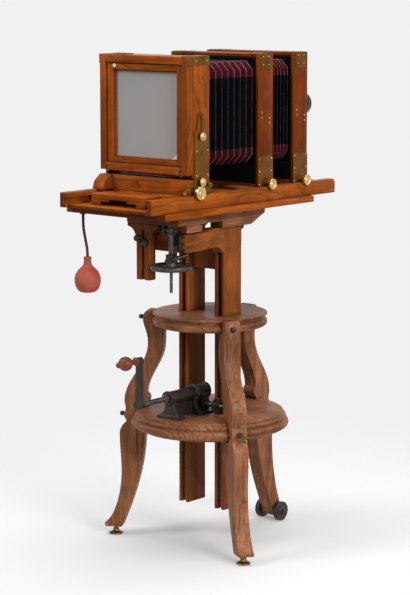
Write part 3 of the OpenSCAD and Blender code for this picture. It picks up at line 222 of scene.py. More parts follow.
def span(tree, value, low, high, to_low=0.0, to_high=1.0):
    return put(tree, "ShaderNodeMapRange", {"clamp": True}, Value=value, From_Min=low, From_Max=high,
               To_Min=to_low, To_Max=to_high).outputs[0]


def noise(tree, vector, scale, detail=4.0, roughness=0.55, distortion=0.0):
    return put(tree, "ShaderNodeTexNoise", Vector=vector, Scale=scale, Detail=detail, Roughness=roughness,
               Distortion=distortion).outputs["Fac"]


def stretched(tree, vector, scale):
    return put(tree, "ShaderNodeMapping", {"vector_type": "POINT"}, Vector=vector, Scale=scale).outputs[0]


def stretched_noise(tree, vector, scale, detail, roughness=0.55):
    return noise(tree, stretched(tree, vector, scale), 1.0, detail, roughness)


def dot_product(tree, a, b):
    return put(tree, "ShaderNodeVectorMath", {"operation": "DOT_PRODUCT"}, n0=a, n1=b).outputs["Value"]


def ramp(tree, factor, *stops):
    node = put(tree, "ShaderNodeValToRGB", Fac=factor)
    elements = node.color_ramp.elements
    while len(elements) < len(stops):
        elements.new(0.5)
    for element, (place, colour) in zip(elements, stops):
        element.position = place
        element.color = colour if len(colour) == 4 else rgb(colour)
    return node.outputs[0]


def new_group(name, inputs, outputs):
    """A shader node group with (name, kind, default) inputs and (name, kind) outputs."""
    tree = bpy.data.node_groups.new(name, "ShaderNodeTree")
    for label, kind, default in inputs:
        socket = tree.interface.new_socket(name=label, in_out="INPUT", socket_type=kind)
        if default is not None:
            socket.default_value = default
    for label, kind in outputs:
        tree.interface.new_socket(name=label, in_out="OUTPUT", socket_type=kind)
    return tree, tree.nodes.new("NodeGroupInput").outputs, tree.nodes.new("NodeGroupOutput").inputs


def wood_grain_group():
    """Growth rings, fine fibres and pores along the X of the coordinates."""
    name = "Wood grain"
    if name in bpy.data.node_groups:
        return bpy.data.node_groups[name]
    tree, given, out = new_group(name, [
        ("Coordinates", "NodeSocketVector", None), ("Light", "NodeSocketColor", (1, 1, 1, 1)),
        ("Middle", "NodeSocketColor", (0.5, 0.5, 0.5, 1)), ("Dark", "NodeSocketColor", (0, 0, 0, 1)),
        ("Ring width", "NodeSocketFloat", 0.006), ("Pores", "NodeSocketFloat", 0.5),
    ], [("Colour", "NodeSocketColor"), ("Roughness", "NodeSocketFloat"), ("Height", "NodeSocketFloat")])
    where = given["Coordinates"]
    drift = stretched_noise(tree, where, (2.2, 14, 14), 2.0, 0.5)
    split = put(tree, "ShaderNodeSeparateXYZ", Vector=where)
    across = plus(tree, split.outputs[1], times(tree, split.outputs[2], 0.35))
    warped = plus(tree, across, times(tree, drift, 0.085))
    cycles = maths(tree, "DIVIDE", warped, given["Ring width"])
    phase = maths(tree, "FRACT", cycles)
    strength = span(tree, stretched_noise(tree, where, (1.5, 30, 30), 2.0), 0.35, 0.65, 0.35, 1.0)
    rings = times(tree, maths(tree, "POWER", phase, 2.2), strength)
    fibres = stretched_noise(tree, where, (9, 620, 620), 3.0, 0.6)
    streaks = stretched_noise(tree, where, (3.2, 75, 75), 4.0, 0.6)
    patches = stretched_noise(tree, where, (4, 9, 9), 2.0)
    pore = span(tree, stretched_noise(tree, where, (75, 1500, 1500), 1.0), 0.60, 0.72)
    tone = plus(tree, times(tree, streaks, 0.62), times(tree, fibres, 0.38))
    base = ramp(tree, tone, (0.33, (1, 1, 1, 1)), (0.60, (0, 0, 0, 1)))
    body = mix(tree, base, given["Middle"], given["Light"])
    ringed = mix(tree, times(tree, rings, 0.72), body, given["Dark"])
    shaded = mix(tree, span(tree, patches, 0.35, 0.7, 0.0, 0.42), ringed, given["Dark"])
    pores = times(tree, pore, given["Pores"])
    tree.links.new(mix(tree, pores, shaded, given["Dark"]), out["Colour"])
    rough = plus(tree, span(tree, fibres, 0.3, 0.7, 0.34, 0.48), times(tree, pores, 0.25))
    tree.links.new(rough, out["Roughness"])
    height = maths(tree, "SUBTRACT", times(tree, fibres, 0.35), pores)
    tree.links.new(height, out["Height"])
    return tree


def worn_edges_group():
    """Mask of rubbed corners, broken up by noise."""
    name = "Worn edges"
    if name in bpy.data.node_groups:
        return bpy.data.node_groups[name]
    tree, given, out = new_group(name, [
        ("Coordinates", "NodeSocketVector", None), ("Width", "NodeSocketFloat", 0.002),
        ("Amount", "NodeSocketFloat", 0.6),
    ], [("Mask", "NodeSocketFloat")])
    rounded = put(tree, "ShaderNodeBevel", {"samples": 6}, Radius=given["Width"]).outputs[0]
    flat = put(tree, "ShaderNodeNewGeometry").outputs["Normal"]
    edge = span(tree, dot_product(tree, rounded, flat), 0.995, 0.86)
    broken = span(tree, noise(tree, given["Coordinates"], 95.0, 5.0, 0.7), 0.34, 0.62)
    mask = times(tree, times(tree, edge, broken), given["Amount"], clamp=True)
    tree.links.new(mask, out["Mask"])
    return tree


def grime_group():
    """Soft stains and handling marks."""
    name = "Stains"
    if name in bpy.data.node_groups:
        return bpy.data.node_groups[name]
    tree, given, out = new_group(name, [
        ("Coordinates", "NodeSocketVector", None), ("Size", "NodeSocketFloat", 18.0),
        ("Amount", "NodeSocketFloat", 0.5),
    ], [("Mask", "NodeSocketFloat")])
    large = noise(tree, given["Coordinates"], given["Size"], 5.0, 0.62, 0.6)
    tree.links.new(times(tree, span(tree, large, 0.42, 0.72), given["Amount"]), out["Mask"])
    return tree


def use(tree, group, **inputs):
    return put(tree, "ShaderNodeGroup", {"node_tree": group}, **inputs).outputs


def stains_on(tree, where, size, amount):
    return use(tree, grime_group(), Coordinates=where, Size=size, Amount=amount)["Mask"]


def worn_edges(tree, where, width, amount):
    return use(tree, worn_edges_group(), Coordinates=where, Width=width, Amount=amount)["Mask"]


def new_material(name):
    """A material with only its shader and output; returns the material, its tree and the shader."""
    if name in bpy.data.materials:
        bpy.data.materials.remove(bpy.data.materials[name])
    material = bpy.data.materials.new(name)
    material.use_nodes = True
    tree = material.node_tree
    shader = next(node for node in tree.nodes if node.type == "BSDF_PRINCIPLED")
    return material, tree, shader


def place_of(tree):
    return put(tree, "ShaderNodeTexCoord").outputs["Object"]


def connect(tree, shader, **sources):
    for key, value in sources.items():
        socket = shader.inputs[key.replace("_", " ")]
        if isinstance(value, bpy.types.NodeSocket):
            tree.links.new(value, socket)
        else:
            socket.default_value = value


def bump(tree, height, distance, strength=1.0):
    return put(tree, "ShaderNodeBump", Strength=strength, Distance=distance, Height=height).outputs[0]


# Materials


def wood_material(name, light, middle, dark, ring_width, pores, coat, wear):
    material, tree, shader = new_material(name)
    where = put(tree, "ShaderNodeAttribute", {"attribute_name": "grain"}).outputs["Vector"]
    grain = use(tree, wood_grain_group(), Coordinates=where, Light=rgb(light), Middle=rgb(middle),
                Dark=rgb(dark), Ring_width=ring_width, Pores=pores)
    stains = stains_on(tree, where, 11.0, 0.45)
    stained_and_shaded = mix(tree, stains, grain["Colour"], rgb(dark))
    grain_way = put(tree, "ShaderNodeAttribute", {"attribute_name": "along"}).outputs["Vector"]
    outward = put(tree, "ShaderNodeNewGeometry").outputs["Normal"]
    facing = maths(tree, "ABSOLUTE", dot_product(tree, grain_way, outward))
    end_grain = span(tree, facing, 0.80, 0.97, 0.0, 0.55)
    stained_and_shaded = mix(tree, end_grain, stained_and_shaded, rgb(dark))
    # Painted shade: ambient occlusion darkens the wood in corners, joints and recesses, where shade falls;
    # before this the colour holds only stains and end grain
    painted_recess_shade = put(tree, "ShaderNodeAmbientOcclusion", {"samples": 5}, Distance=0.011).outputs["AO"]
    stained_and_shaded = mix(tree, span(tree, painted_recess_shade, 0.30, 0.88, 0.78, 0.0), stained_and_shaded, rgb(dark))
    edge = worn_edges(tree, where, 0.0028, wear)
    worn = mix(tree, edge, stained_and_shaded, rgb([0.55 * a + 0.45 * b for a, b in zip(light, middle)]))
    connect(tree, shader, Base_Color=worn, Roughness=grain["Roughness"], Coat_Weight=coat, Coat_Roughness=0.22,
            Normal=bump(tree, grain["Height"], 0.00018, 0.6), Specular_IOR_Level=0.06)
    return material


def brass_material(name, bright, dull, dullness, roughness, edge_shine=0.5):
    material, tree, shader = new_material(name)
    where = place_of(tree)
    stains = stains_on(tree, where, 34.0, 1.0)
    fine = noise(tree, where, 420.0, 3.0)
    film = plus(tree, times(tree, stains, 0.45), dullness, clamp=True)
    edge = worn_edges(tree, where, 0.0012, edge_shine)
    aged = mix(tree, film, rgb(bright), rgb(dull))
    colour = mix(tree, edge, aged, rgb(bright))
    rough = plus(tree, span(tree, fine, 0.3, 0.7, roughness - 0.06, roughness + 0.06), times(tree, film, 0.16))
    connect(tree, shader, Base_Color=colour, Roughness=rough, Metallic=1.0,
            Normal=bump(tree, fine, 0.00004, 0.4))
    return material


def iron_material(name, dark, worn, metallic, roughness, wear):
    material, tree, shader = new_material(name)
    where = place_of(tree)
    rust = stains_on(tree, where, 42.0, 0.5)
    grit = noise(tree, where, 700.0, 4.0, 0.7)
    edge = worn_edges(tree, where, 0.0022, wear)
    body = mix(tree, rust, rgb(dark), rgb([0.5 * a + 0.5 * b for a, b in zip(dark, worn)]))
    colour = mix(tree, edge, body, rgb(worn))
    rough = plus(tree, span(tree, grit, 0.3, 0.7, roughness - 0.09, roughness + 0.09), times(tree, edge, -0.12))
    connect(tree, shader, Base_Color=colour, Roughness=rough, Metallic=metallic,
            Normal=bump(tree, grit, 0.00018, 0.6))
    return material


def leather_material(name, colour, ridge, folded=False):
    material, tree, shader = new_material(name)
    where = place_of(tree)
    pebble = put(tree, "ShaderNodeTexVoronoi", {"feature": "F1"}, Vector=where, Scale=620.0).outputs["Distance"]
    wrinkle = noise(tree, where, 160.0, 4.0, 0.6)
    wear_and_crest_highlight = worn_edges(tree, where, 0.0018, 0.75)
    # On folded bellows the crests take the ridge colour as a painted highlight, broken up by noise; otherwise
    # the ridge colour marks worn edges
    if folded:
        fold = put(tree, "ShaderNodeAttribute", {"attribute_name": "fold"}).outputs["Fac"]
        crest_highlight_breakup = span(tree, noise(tree, where, 45.0, 3.0, 0.6), 0.35, 0.6, 0.35, 1.0)
        wear_and_crest_highlight = times(tree, span(tree, fold, 0.90, 0.99), crest_highlight_breakup)
    pale = [2.2 * c + 0.0008 for c in colour]
    mottled = mix(tree, span(tree, wrinkle, 0.3, 0.75, 0.0, 0.5), rgb(colour), rgb(pale))
    shown = mix(tree, wear_and_crest_highlight, mottled, rgb(ridge))
    height = plus(tree, times(tree, pebble, -0.5), wrinkle)
    connect(tree, shader, Base_Color=shown, Roughness=span(tree, wrinkle, 0.3, 0.7, 0.5, 0.66),
            Specular_IOR_Level=0.03, Normal=bump(tree, height, 0.0003, 0.5))
    return material


def rubber_material(name, colour):
    material, tree, shader = new_material(name)
    where = place_of(tree)
    bloom = stains_on(tree, where, 26.0, 0.55)
    specks = span(tree, noise(tree, where, 900.0, 2.0), 0.62, 0.75)
    pale = [min(1, 1.05 * c + 0.07) for c in colour]
    dusty = mix(tree, bloom, rgb(colour), rgb(pale))
    shown = mix(tree, times(tree, specks, 0.35), dusty, rgb([0.45 * c for c in colour]))
    grit = noise(tree, where, 500.0, 3.0)
    connect(tree, shader, Base_Color=shown, Roughness=span(tree, bloom, 0, 0.5, 0.5, 0.68),
            Specular_IOR_Level=0.2, Normal=bump(tree, grit, 0.00012, 0.5))
    return material


def ground_glass_material():
    material, tree, shader = new_material("Ground glass")
    where = place_of(tree)
    split = put(tree, "ShaderNodeSeparateXYZ", Vector=where)
    # Painted light: the glass is painted lighter and warmer from its left side to its right side
    left = span(tree, split.outputs[0], -0.116, 0.116)
    glass_with_painted_light = mix(tree, left, (0.305, 0.312, 0.308, 1), (0.355, 0.322, 0.312, 1))
    cloud = noise(tree, where, 9.0, 3.0, 0.5)
    shown = mix(tree, span(tree, cloud, 0.3, 0.7, 0.0, 0.16), glass_with_painted_light, (0.385, 0.372, 0.36, 1))
    chip_width, chip_height = 27 * MM, 19 * MM
    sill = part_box("ground_glass")[0].z + GLASS_LAP
    rise = span(tree, split.outputs[2], sill, sill + chip_height)
    chip = maths(tree, "SUBTRACT", span(tree, split.outputs[0], GLASS_HALF - chip_width, GLASS_HALF), rise)
    shown = mix(tree, span(tree, chip, 0.0, 0.14), shown, (0.80, 0.76, 0.68, 1))
    fine = noise(tree, where, 1800.0, 2.0)
    connect(tree, shader, Base_Color=shown, Roughness=0.42, Coat_Weight=0.35, Coat_Roughness=0.12,
            Normal=bump(tree, fine, 0.00005, 0.3))
    return material


def lens_glass_material():
    material, tree, shader = new_material("Lens glass")
    haze = noise(tree, place_of(tree), 60.0, 2.0)
    connect(tree, shader, Base_Color=(0.75, 0.82, 0.9, 1), Roughness=span(tree, haze, 0.3, 0.7, 0.02, 0.06),
            Transmission_Weight=1.0, IOR=1.5)
    return material


def make_materials():
    """Every finish of the object, by the name of its material slot."""
    wood = bpy.context.scene.camera_wood
    metal = bpy.context.scene.camera_metal
    soft = bpy.context.scene.camera_soft
    return {
        "camera_wood": wood_material("Polished camera wood", wood.camera_light, wood.camera_mid,
                                     wood.camera_dark, 0.0085, 0.35, 0.05, 0.5),
        # Darker copy of the camera wood for the middle and front frames, as painted shade
        "shaded_camera_wood": wood_material("Shaded camera wood", wood.shaded_wood_light, wood.shaded_wood_mid,
                                   wood.camera_dark, 0.0085, 0.35, 0.05, 0.5),
        "stand_wood": wood_material("Stained stand wood", wood.stand_light, wood.stand_mid,
                                    wood.stand_dark, 0.0105, 0.75, 0.05, 0.42),
        "column_wood": wood_material("Polished column wood", wood.column_light, wood.column_mid,
                                     wood.column_dark, 0.0095, 0.55, 0.05, 0.42),
        "handle_wood": wood_material("Turned handle wood", (0.38, 0.145, 0.066), (0.19, 0.060, 0.025),
                                     (0.06, 0.016, 0.006), 0.006, 0.4, 0.30, 0.2),
        "brass": brass_material("Aged brass", metal.brass_plate, metal.brass_dull, 0.45, 0.34),
        "brass_dark": brass_material("Blackened brass", metal.brass_dull,
                                     [0.3 * c for c in metal.brass_dull], 0.6, 0.42),
        "brass_knobs": brass_material("Handled brass", metal.brass, metal.brass_dull, 0.05, 0.17, 0.9),
        "iron": iron_material("Painted cast iron", metal.iron, metal.iron_worn, 0.35, 0.46, 0.6),
        "steel": iron_material("Dull steel", (0.075, 0.065, 0.055), (0.30, 0.27, 0.235), 0.85, 0.40, 0.7),
        "lacquered_brass": iron_material("Dark lacquered brass", (0.018, 0.012, 0.008),
                                         (0.32, 0.2, 0.08), 0.7, 0.30, 0.5),
        "rack_steel": iron_material("Worn rack steel", (0.20, 0.175, 0.150), (0.62, 0.57, 0.51),
                                    0.55, 0.42, 0.9),
        "foot_bronze": brass_material("Worn bronze", (0.34, 0.19, 0.08), (0.045, 0.020, 0.006), 0.42, 0.30),
        "worn_iron": iron_material("Handled iron", (0.045, 0.038, 0.034), (0.22, 0.19, 0.165),
                                   0.6, 0.42, 0.8),
        "black_lining": leather_material("Black painted lining", (0.003, 0.003, 0.003),
                                         (0.02, 0.016, 0.012)),
        "black_metal": iron_material("Matt black metal", (0.008, 0.008, 0.008), (0.05, 0.05, 0.05),
                                     0.2, 0.6, 0.3),
        # The bellows' ridge colours are painted highlights along the fold crests
        "bellows_leather": leather_material("Bellows leather", soft.leather, (0.055, 0.046, 0.050),
                                            folded=True),
        "bellows_corners": leather_material("Bellows corner leather", soft.corners, (0.30, 0.13, 0.15),
                                            folded=True),
        "red_rubber": rubber_material("Faded red rubber", soft.rubber),
        "ivory": rubber_material("Ivory enamel", (0.80, 0.76, 0.70)),
        "hose_rubber": rubber_material("Dark hose rubber", soft.hose),
        "ground_glass": ground_glass_material(),
        "lens_glass": lens_glass_material(),
    }


def finish_of(name):
    if name not in FINISHES:
        FINISHES.update(make_materials())
    return FINISHES[name]


FINISHES = {}


# Mesh helpers


def steady_random(text):
    """A number from 0 to 1 that depends only on the text."""
    value = 7
    for letter in text:
        value = (value * 31 + ord(letter)) % 9973
    return value / 9973


def grain_coordinates(points, along, seed):
    """Coordinates with X along the grain, moved by a steady amount so that boards differ."""
    first = Vector(along).normalized()
    helper = Z if abs(first.z) < 0.9 else Y
    second = first.cross(helper).normalized()
    third = first.cross(second)
    shift = Vector((steady_random(seed), steady_random(seed + "a"), steady_random(seed + "b"))) * 0.7
    return [Vector((p.dot(first), p.dot(second), p.dot(third))) + shift for p in points]


class Joinery:
    """Collects solids, each with its own grain, and turns them into one object."""

    def __init__(self, name):
        self.name = name
        self.points, self.faces, self.slots = [], [], []
        self.grain, self.ways = [], []

    def pour(self, mesh, along, seed=None, slot=0):
        """Adds a bmesh whose grain runs along the given direction."""
        start = len(self.points)
        mesh.verts.index_update()
        places = [v.co.copy() for v in mesh.verts]
        self.points += places
        self.grain += grain_coordinates(places, along, seed or f"{self.name}{start}")
        self.ways += [Vector(along).normalized()] * len(places)
        for face in mesh.faces:
            self.faces.append([start + v.index for v in face.verts])
            self.slots.append(slot)
        mesh.free()

    def board(self, low, high, along=X, edge=0.001, seed=None, slot=0):
        """Adds a rectangular board with eased edges."""
        mesh = bmesh.new()
        bmesh.ops.create_cube(mesh, size=1)
        low, high = Vector(low), Vector(high)
        size, middle = high - low, (high + low) / 2
        for v in mesh.verts:
            v.co = Vector((v.co.x * size.x, v.co.y * size.y, v.co.z * size.z)) + middle
        width = min(edge, min(size) * 0.45)
        bmesh.ops.bevel(mesh, geom=mesh.edges[:], offset=width, segments=2, profile=0.6, affect="EDGES")
        self.pour(mesh, along, seed, slot)

    def turned(self, profile, base, steps):
        """Adds a solid turned round Z from (radius, height) points, closed where the radius is nothing."""
        mesh = bmesh.new()
        base = Vector(base)
        rings = [[mesh.verts.new(base + Vector((radius * math.cos(a), radius * math.sin(a), height)))
                  for a in arc_angles(steps if radius > 1e-6 else 1)] for radius, height in profile]
        for first, second in zip(rings, rings[1:]):
            if len(first) + len(second) > 2:
                for k in range(steps):
                    j = (k + 1) % steps
                    corners = [(first, j), (first, k), (second, k), (second, j)]
                    mesh.faces.new(dict.fromkeys(ring[i % len(ring)] for ring, i in corners))
        bmesh.ops.recalc_face_normals(mesh, faces=mesh.faces[:])
        self.pour(mesh, Z)

    def done(self, body, materials, stands_for=(), smooth=40):
        """Makes the object, with its finish, on its body."""
        mesh = bpy.data.meshes.new(self.name)
        mesh.from_pydata(self.points, [], self.faces)
        layer = mesh.attributes.new("grain", "FLOAT_VECTOR", "POINT")
        layer.data.foreach_set("vector", [c for p in self.grain for c in p])
        ways = mesh.attributes.new("along", "FLOAT_VECTOR", "POINT")
        ways.data.foreach_set("vector", [c for way in self.ways for c in way])
        for polygon, index in zip(mesh.polygons, self.slots):
            polygon.material_index = index
            polygon.use_smooth = True
        mesh.set_sharp_from_angle(angle=math.radians(smooth))
        return place_piece(self.name, mesh, body, materials, stands_for)


def add_object(name, data):
    piece = bpy.data.objects.new(name, data)
    bpy.context.scene.collection.objects.link(piece)
    return piece


def place_piece(name, mesh, body, materials, stands_for=()):
    piece = add_object(name, mesh)
    for material in materials:
        piece.data.materials.append(finish_of(material))
    if stands_for:
        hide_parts(*stands_for)
    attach(piece, body)
    return piece


def solid_copy(node):
    """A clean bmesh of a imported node, with its flat faces whole."""
    mesh = bmesh.new()
    mesh.from_mesh(NODES[node].data)
    bmesh.ops.remove_doubles(mesh, verts=mesh.verts[:], dist=2e-6)
    bmesh.ops.dissolve_limit(mesh, angle_limit=math.radians(0.6), verts=mesh.verts[:], edges=mesh.edges[:])
    return mesh


def islands(mesh):
    """Groups of vertices that hang together, in the order of the mesh, so that each run gives the same."""
    seen, groups = set(), []
    for first in mesh.verts:
        if first in seen:
            continue
        seen.add(first)
        queue, group = [first], []
        while queue:
            vert = queue.pop()
            group.append(vert)
            for e in vert.link_edges:
                other = e.other_vert(vert)
                if other not in seen:
                    seen.add(other)
                    queue.append(other)
        groups.append(group)
    return groups


def evaluated_mesh(piece):
    bpy.context.view_layer.update()
    graph = bpy.context.evaluated_depsgraph_get()
    return bpy.data.meshes.new_from_object(piece.evaluated_get(graph), preserve_all_data_layers=True,
                                           depsgraph=graph)


def swap_node(node, mesh, ending, finish, modifiers, smooth=None):
    """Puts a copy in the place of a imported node, after modifiers that are each a kind and its values."""
    name, slot = node + ending, SLOT_OF[node]
    shape = bpy.data.meshes.new(name)
    mesh.to_mesh(shape)
    mesh.free()
    if smooth:
        shape.shade_smooth()
    scratch = add_object("scratch", shape)
    for kind, values in modifiers:
        modifier = scratch.modifiers.new(kind, kind)
        for key, value in values.items():
            setattr(modifier, key, value)
    result = evaluated_mesh(scratch)
    bpy.data.objects.remove(scratch)
    result.name = name
    if smooth:
        result.set_sharp_from_angle(angle=math.radians(smooth))
    result.materials.clear()
    return place_piece(name, result, BODY_OF[node], [finish or slot], [node])


def dress(node, along=None, edge=None, finish=None, smooth=38):
    """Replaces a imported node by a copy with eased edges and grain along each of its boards."""
    mesh = solid_copy(node)
    layer = mesh.verts.layers.float_vector.new("grain")
    ways = mesh.verts.layers.float_vector.new("along")
    for number, group in enumerate(islands(mesh)):
        places = [v.co for v in group]
        size = Vector([max(p[i] for p in places) - min(p[i] for p in places) for i in range(3)])
        longest = [X, Y, Z][max(range(3), key=lambda i: size[i])]
        way = Vector(along or longest).normalized()
        for vert, spot in zip(group, grain_coordinates(places, way, f"{node}{number}")):
            vert[layer] = spot
            vert[ways] = way
    width = bpy.context.scene.camera_wood.edge if edge is None else edge
    easing = {"width": width, "segments": 2, "limit_method": "ANGLE", "angle_limit": math.radians(smooth)}
    return swap_node(node, mesh, "_eased", finish, [("BEVEL", easing)] if width > 0 else [], smooth)


def cast(node, voxel, rounds, finish=None):
    """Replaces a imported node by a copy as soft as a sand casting."""
    grid = {"mode": "VOXEL", "voxel_size": voxel, "use_smooth_shade": True}
    return swap_node(node, solid_copy(node), "_cast", finish,
                     [("REMESH", grid), ("SMOOTH", {"factor": 0.5, "iterations": rounds})])


def paint(node, finish=None):
    """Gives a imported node, kept as it is, its finish."""
    piece = NODES[node]
    for index in range(max(1, len(piece.material_slots))):
        if not piece.material_slots:
            piece.data.materials.append(None)
        piece.material_slots[index].link = "OBJECT"
        piece.material_slots[index].material = finish_of(finish or SLOT_OF[node])
    return piece


def smooth_shape(name, profile_rings):
    """A mesh skinned over rings of equal length."""
    points = [p for ring in profile_rings for p in ring]
    count = len(profile_rings[0])
    faces = []
    for i in range(len(profile_rings) - 1):
        for k in range(count):
            j = (k + 1) % count
            faces.append([i * count + k, i * count + j, (i + 1) * count + j, (i + 1) * count + k])
    mesh = bpy.data.meshes.new(name)
    mesh.from_pydata(points, [], faces)
    return mesh


def arc_angles(count):
    """Angles of even steps round a circle."""
    return [2 * math.pi * k / count for k in range(count)]


def close_ends(mesh, count, rings):
    """Cap the first and the last ring of a mesh of rings."""
    shape = bmesh.new()
    shape.from_mesh(mesh)
    shape.verts.ensure_lookup_table()
    last = (rings - 1) * count
    shape.faces.new([shape.verts[k] for k in range(count)])
    shape.faces.new([shape.verts[last + k] for k in range(count)])
    bmesh.ops.recalc_face_normals(shape, faces=shape.faces)
    shape.to_mesh(mesh)
    shape.free()


def screws(name, spots, direction, body):
    """Slotted screw heads at the given places, facing one direction; each slot is a dark bar, painted shade."""
    joinery = Joinery(name)
    r = bpy.context.scene.camera_metal.screw_radius
    face = Vector(direction).normalized()
    side = face.cross(Z if abs(face.z) < 0.9 else X).normalized()
    for number, spot in enumerate(spots):
        spot = Vector(spot)
        turn = math.pi * steady_random(f"{name}{number}")
        cut = Matrix.Rotation(turn, 3, face) @ side
        other = face.cross(cut)
        mesh = bmesh.new()
        rings = []
        for scale, height in HEAD_PROFILE:
            middle = spot + face * height
            rings.append([mesh.verts.new(middle + r * scale * (math.cos(a) * cut + math.sin(a) * other))
                          for a in arc_angles(HEAD_STEPS)])
        centre = mesh.verts.new(spot + face * HEAD_HEIGHT)
        for first, second in zip(rings, rings[1:] + [None]):
            for k in range(HEAD_STEPS):
                j = (k + 1) % HEAD_STEPS
                mesh.faces.new([first[k], first[j]] + ([second[j], second[k]] if second else [centre]))
        bmesh.ops.recalc_face_normals(mesh, faces=mesh.faces[:])
        joinery.pour(mesh, face)
        # Painted shade: a dark iron bar set into the head stands for the shade inside the slot
        slot_shade_bar = bmesh.new()
        bmesh.ops.create_cube(slot_shade_bar, size=1)
        for v in slot_shade_bar.verts:
            v.co = (spot + cut * v.co.x * SLOT_REACH * r + other * v.co.y * SLOT_WIDTH
                    + face * (SLOT_HEIGHT + v.co.z * SLOT_DEPTH))
        joinery.pour(slot_shade_bar, face, slot=1)
    return joinery.done(body, ["brass_knobs", "iron"])


# Pieces


def make_view():
    """The camera of the photograph's view."""
    data = bpy.data.cameras.new("Photograph view")
    data.sensor_width = 36
    data.sensor_fit = "HORIZONTAL"
    data.lens = VIEW_LENS
    data.clip_end = 100
    view = add_object("Photograph view", data)
    level = math.cos(VIEW_PITCH)
    forward = Vector((-math.sin(VIEW_AZIMUTH) * level, math.cos(VIEW_AZIMUTH) * level, -math.sin(VIEW_PITCH)))
    view.location = VIEW_TARGET - forward * VIEW_DISTANCE
    view.rotation_euler = (math.pi / 2 - VIEW_PITCH, 0, VIEW_AZIMUTH)
    bpy.context.scene.camera = view


def curve_through(points, steps):
    """Smooth points along a curve that passes each given point."""
    result = []
    for i, (a, b) in enumerate(zip(points, points[1:])):
        before, after = points[max(i - 1, 0)], points[min(i + 2, len(points) - 1)]
        for k in range(steps):
            t = k / steps
            result.append(0.5 * (2 * a + (b - before) * t + (2 * before - 5 * a + 4 * b - after) * t * t
                                 + (3 * a - before - 3 * b + after) * t ** 3))
    return result + [points[-1]]


def make_hose():
    points = [Vector(p) * MM for p in HOSE_ROUTE]
    length = sum((b - a).length for a, b in zip(points, points[1:]))
    steps = 14
    path = curve_through(points, 4)
    rings = []
    for i, spot in enumerate(path):
        ahead = (path[min(i + 1, len(path) - 1)] - path[max(i - 1, 0)]).normalized()
        u = ahead.cross(Y).normalized()
        v = ahead.cross(u)
        rings.append([spot + HOSE_DIAMETER / 2 * (math.cos(a) * u + math.sin(a) * v)
                      for a in arc_angles(steps)])
    mesh = smooth_shape("rubber_hose", rings)
    close_ends(mesh, steps, len(rings))
    mesh.shade_smooth()
    mesh.set_sharp_from_angle(angle=math.radians(50))
    hose = place_piece("rubber_hose", mesh, "bed", ["hose_rubber"], ["air_hose"])
    return hose, path, length


def make_bulb():
    low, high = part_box("air_bulb")
    middle = (low + high) / 2
    r = (high.x - low.x) / 2
    tall = high.z - low.z
    outline = [(0, 0.004), (0.30, 0.0), (0.62, 0.035), (0.86, 0.13), (0.985, 0.27), (1.0, 0.38),
               (0.93, 0.50), (0.76, 0.61), (0.52, 0.70), (0.355, 0.77), (0.30, 0.83), (0.275, 0.90),
               (0.28, 0.945), (0.305, 0.955), (0.305, 0.985), (0.26, 1.0), (0.14, 1.0), (0, 1.0)]
    joinery = Joinery("rubber_bulb")
    curve = [(p.x * r, p.y * tall) for p in curve_through([Vector((a, b, 0)) for a, b in outline], 4)]
    joinery.turned([(max(0, distance), height) for distance, height in curve], (middle.x, middle.y, low.z), 64)
    bulb = joinery.done("bed", ["red_rubber"], ["air_bulb"], smooth=60)
    seam = Joinery("bulb_seam")
    off, proud, width = 0.2 * MM, 0.4 * MM, 0.6 * MM
    ring = [(distance, height) for distance, height in curve if 0.03 < height / tall < 0.93]
    for side in SIDES:
        mesh = bmesh.new()
        strips = []
        for distance, height in ring:
            spots = ((0, -width), (proud, 0), (0, width))
            strips.append([mesh.verts.new((middle.x + side * (distance + off + out), middle.y + dy,
                                           low.z + height)) for out, dy in spots])
        for first, second in zip(strips, strips[1:]):
            for k in (0, 1):
                mesh.faces.new([first[k], first[k + 1], second[k + 1], second[k]])
        seam.pour(mesh, Z)
    seam.done("bed", ["red_rubber"])
    return bulb


def boards_round(joinery, half, opening, depth, height, rails, edge, slot=0):
    """Boards round an opening even about X = 0: full height at the sides, and a rail for each (z0, z1)."""
    for a, b in ((-half, -opening), (opening, half)):
        joinery.board((a, depth[0], height[0]), (b, depth[1], height[1]), Z, edge, slot=slot)
    for z0, z1 in rails:
        joinery.board((-opening, depth[0], z0), (opening, depth[1], z1), X, edge, slot=slot)


def make_frames():
    """The three standards; the two in front are thin boards with a black lining inside them."""
    thin = FRAME_WALL / 2
    for node in ("rear_frame", "middle_frame", "front_frame"):
        low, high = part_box(node)
        joinery = Joinery(node + "_boards")
        wall = FRAME_WALL if node == "rear_frame" else thin
        sill = SILL_TOP if node == "rear_frame" else low.z + thin
        opening, top = high.x - FRAME_WALL, high.z - FRAME_WALL
        boards_round(joinery, high.x, high.x - wall, (low.y, high.y), (low.z, high.z),
                     ((high.z - wall, high.z), (low.z, sill)), 0.001)
        if node != "rear_frame":
            boards_round(joinery, high.x - thin, opening, (low.y + INSET, high.y - INSET),
                         (sill, high.z - thin), ((top, high.z - thin), (sill, SILL_TOP)), 0.0006, slot=1)
        if node == "front_frame":
            half, centre = 82 * MM, (SILL_TOP + top) / 2
            boards_round(joinery, opening, half, (high.y - 14 * MM, high.y - INSET), (SILL_TOP, top),
                         ((SILL_TOP, centre - half), (centre + half, top)), 0.0006)
        # The middle and front frames take the darker copy of the camera wood, as painted shade
        finishes = ["camera_wood"] if node == "rear_frame" else ["shaded_camera_wood", "black_lining"]
        joinery.done(BODY_OF[node], finishes, [node])
    dress("lens_board_panel", along=X, edge=0.0012)


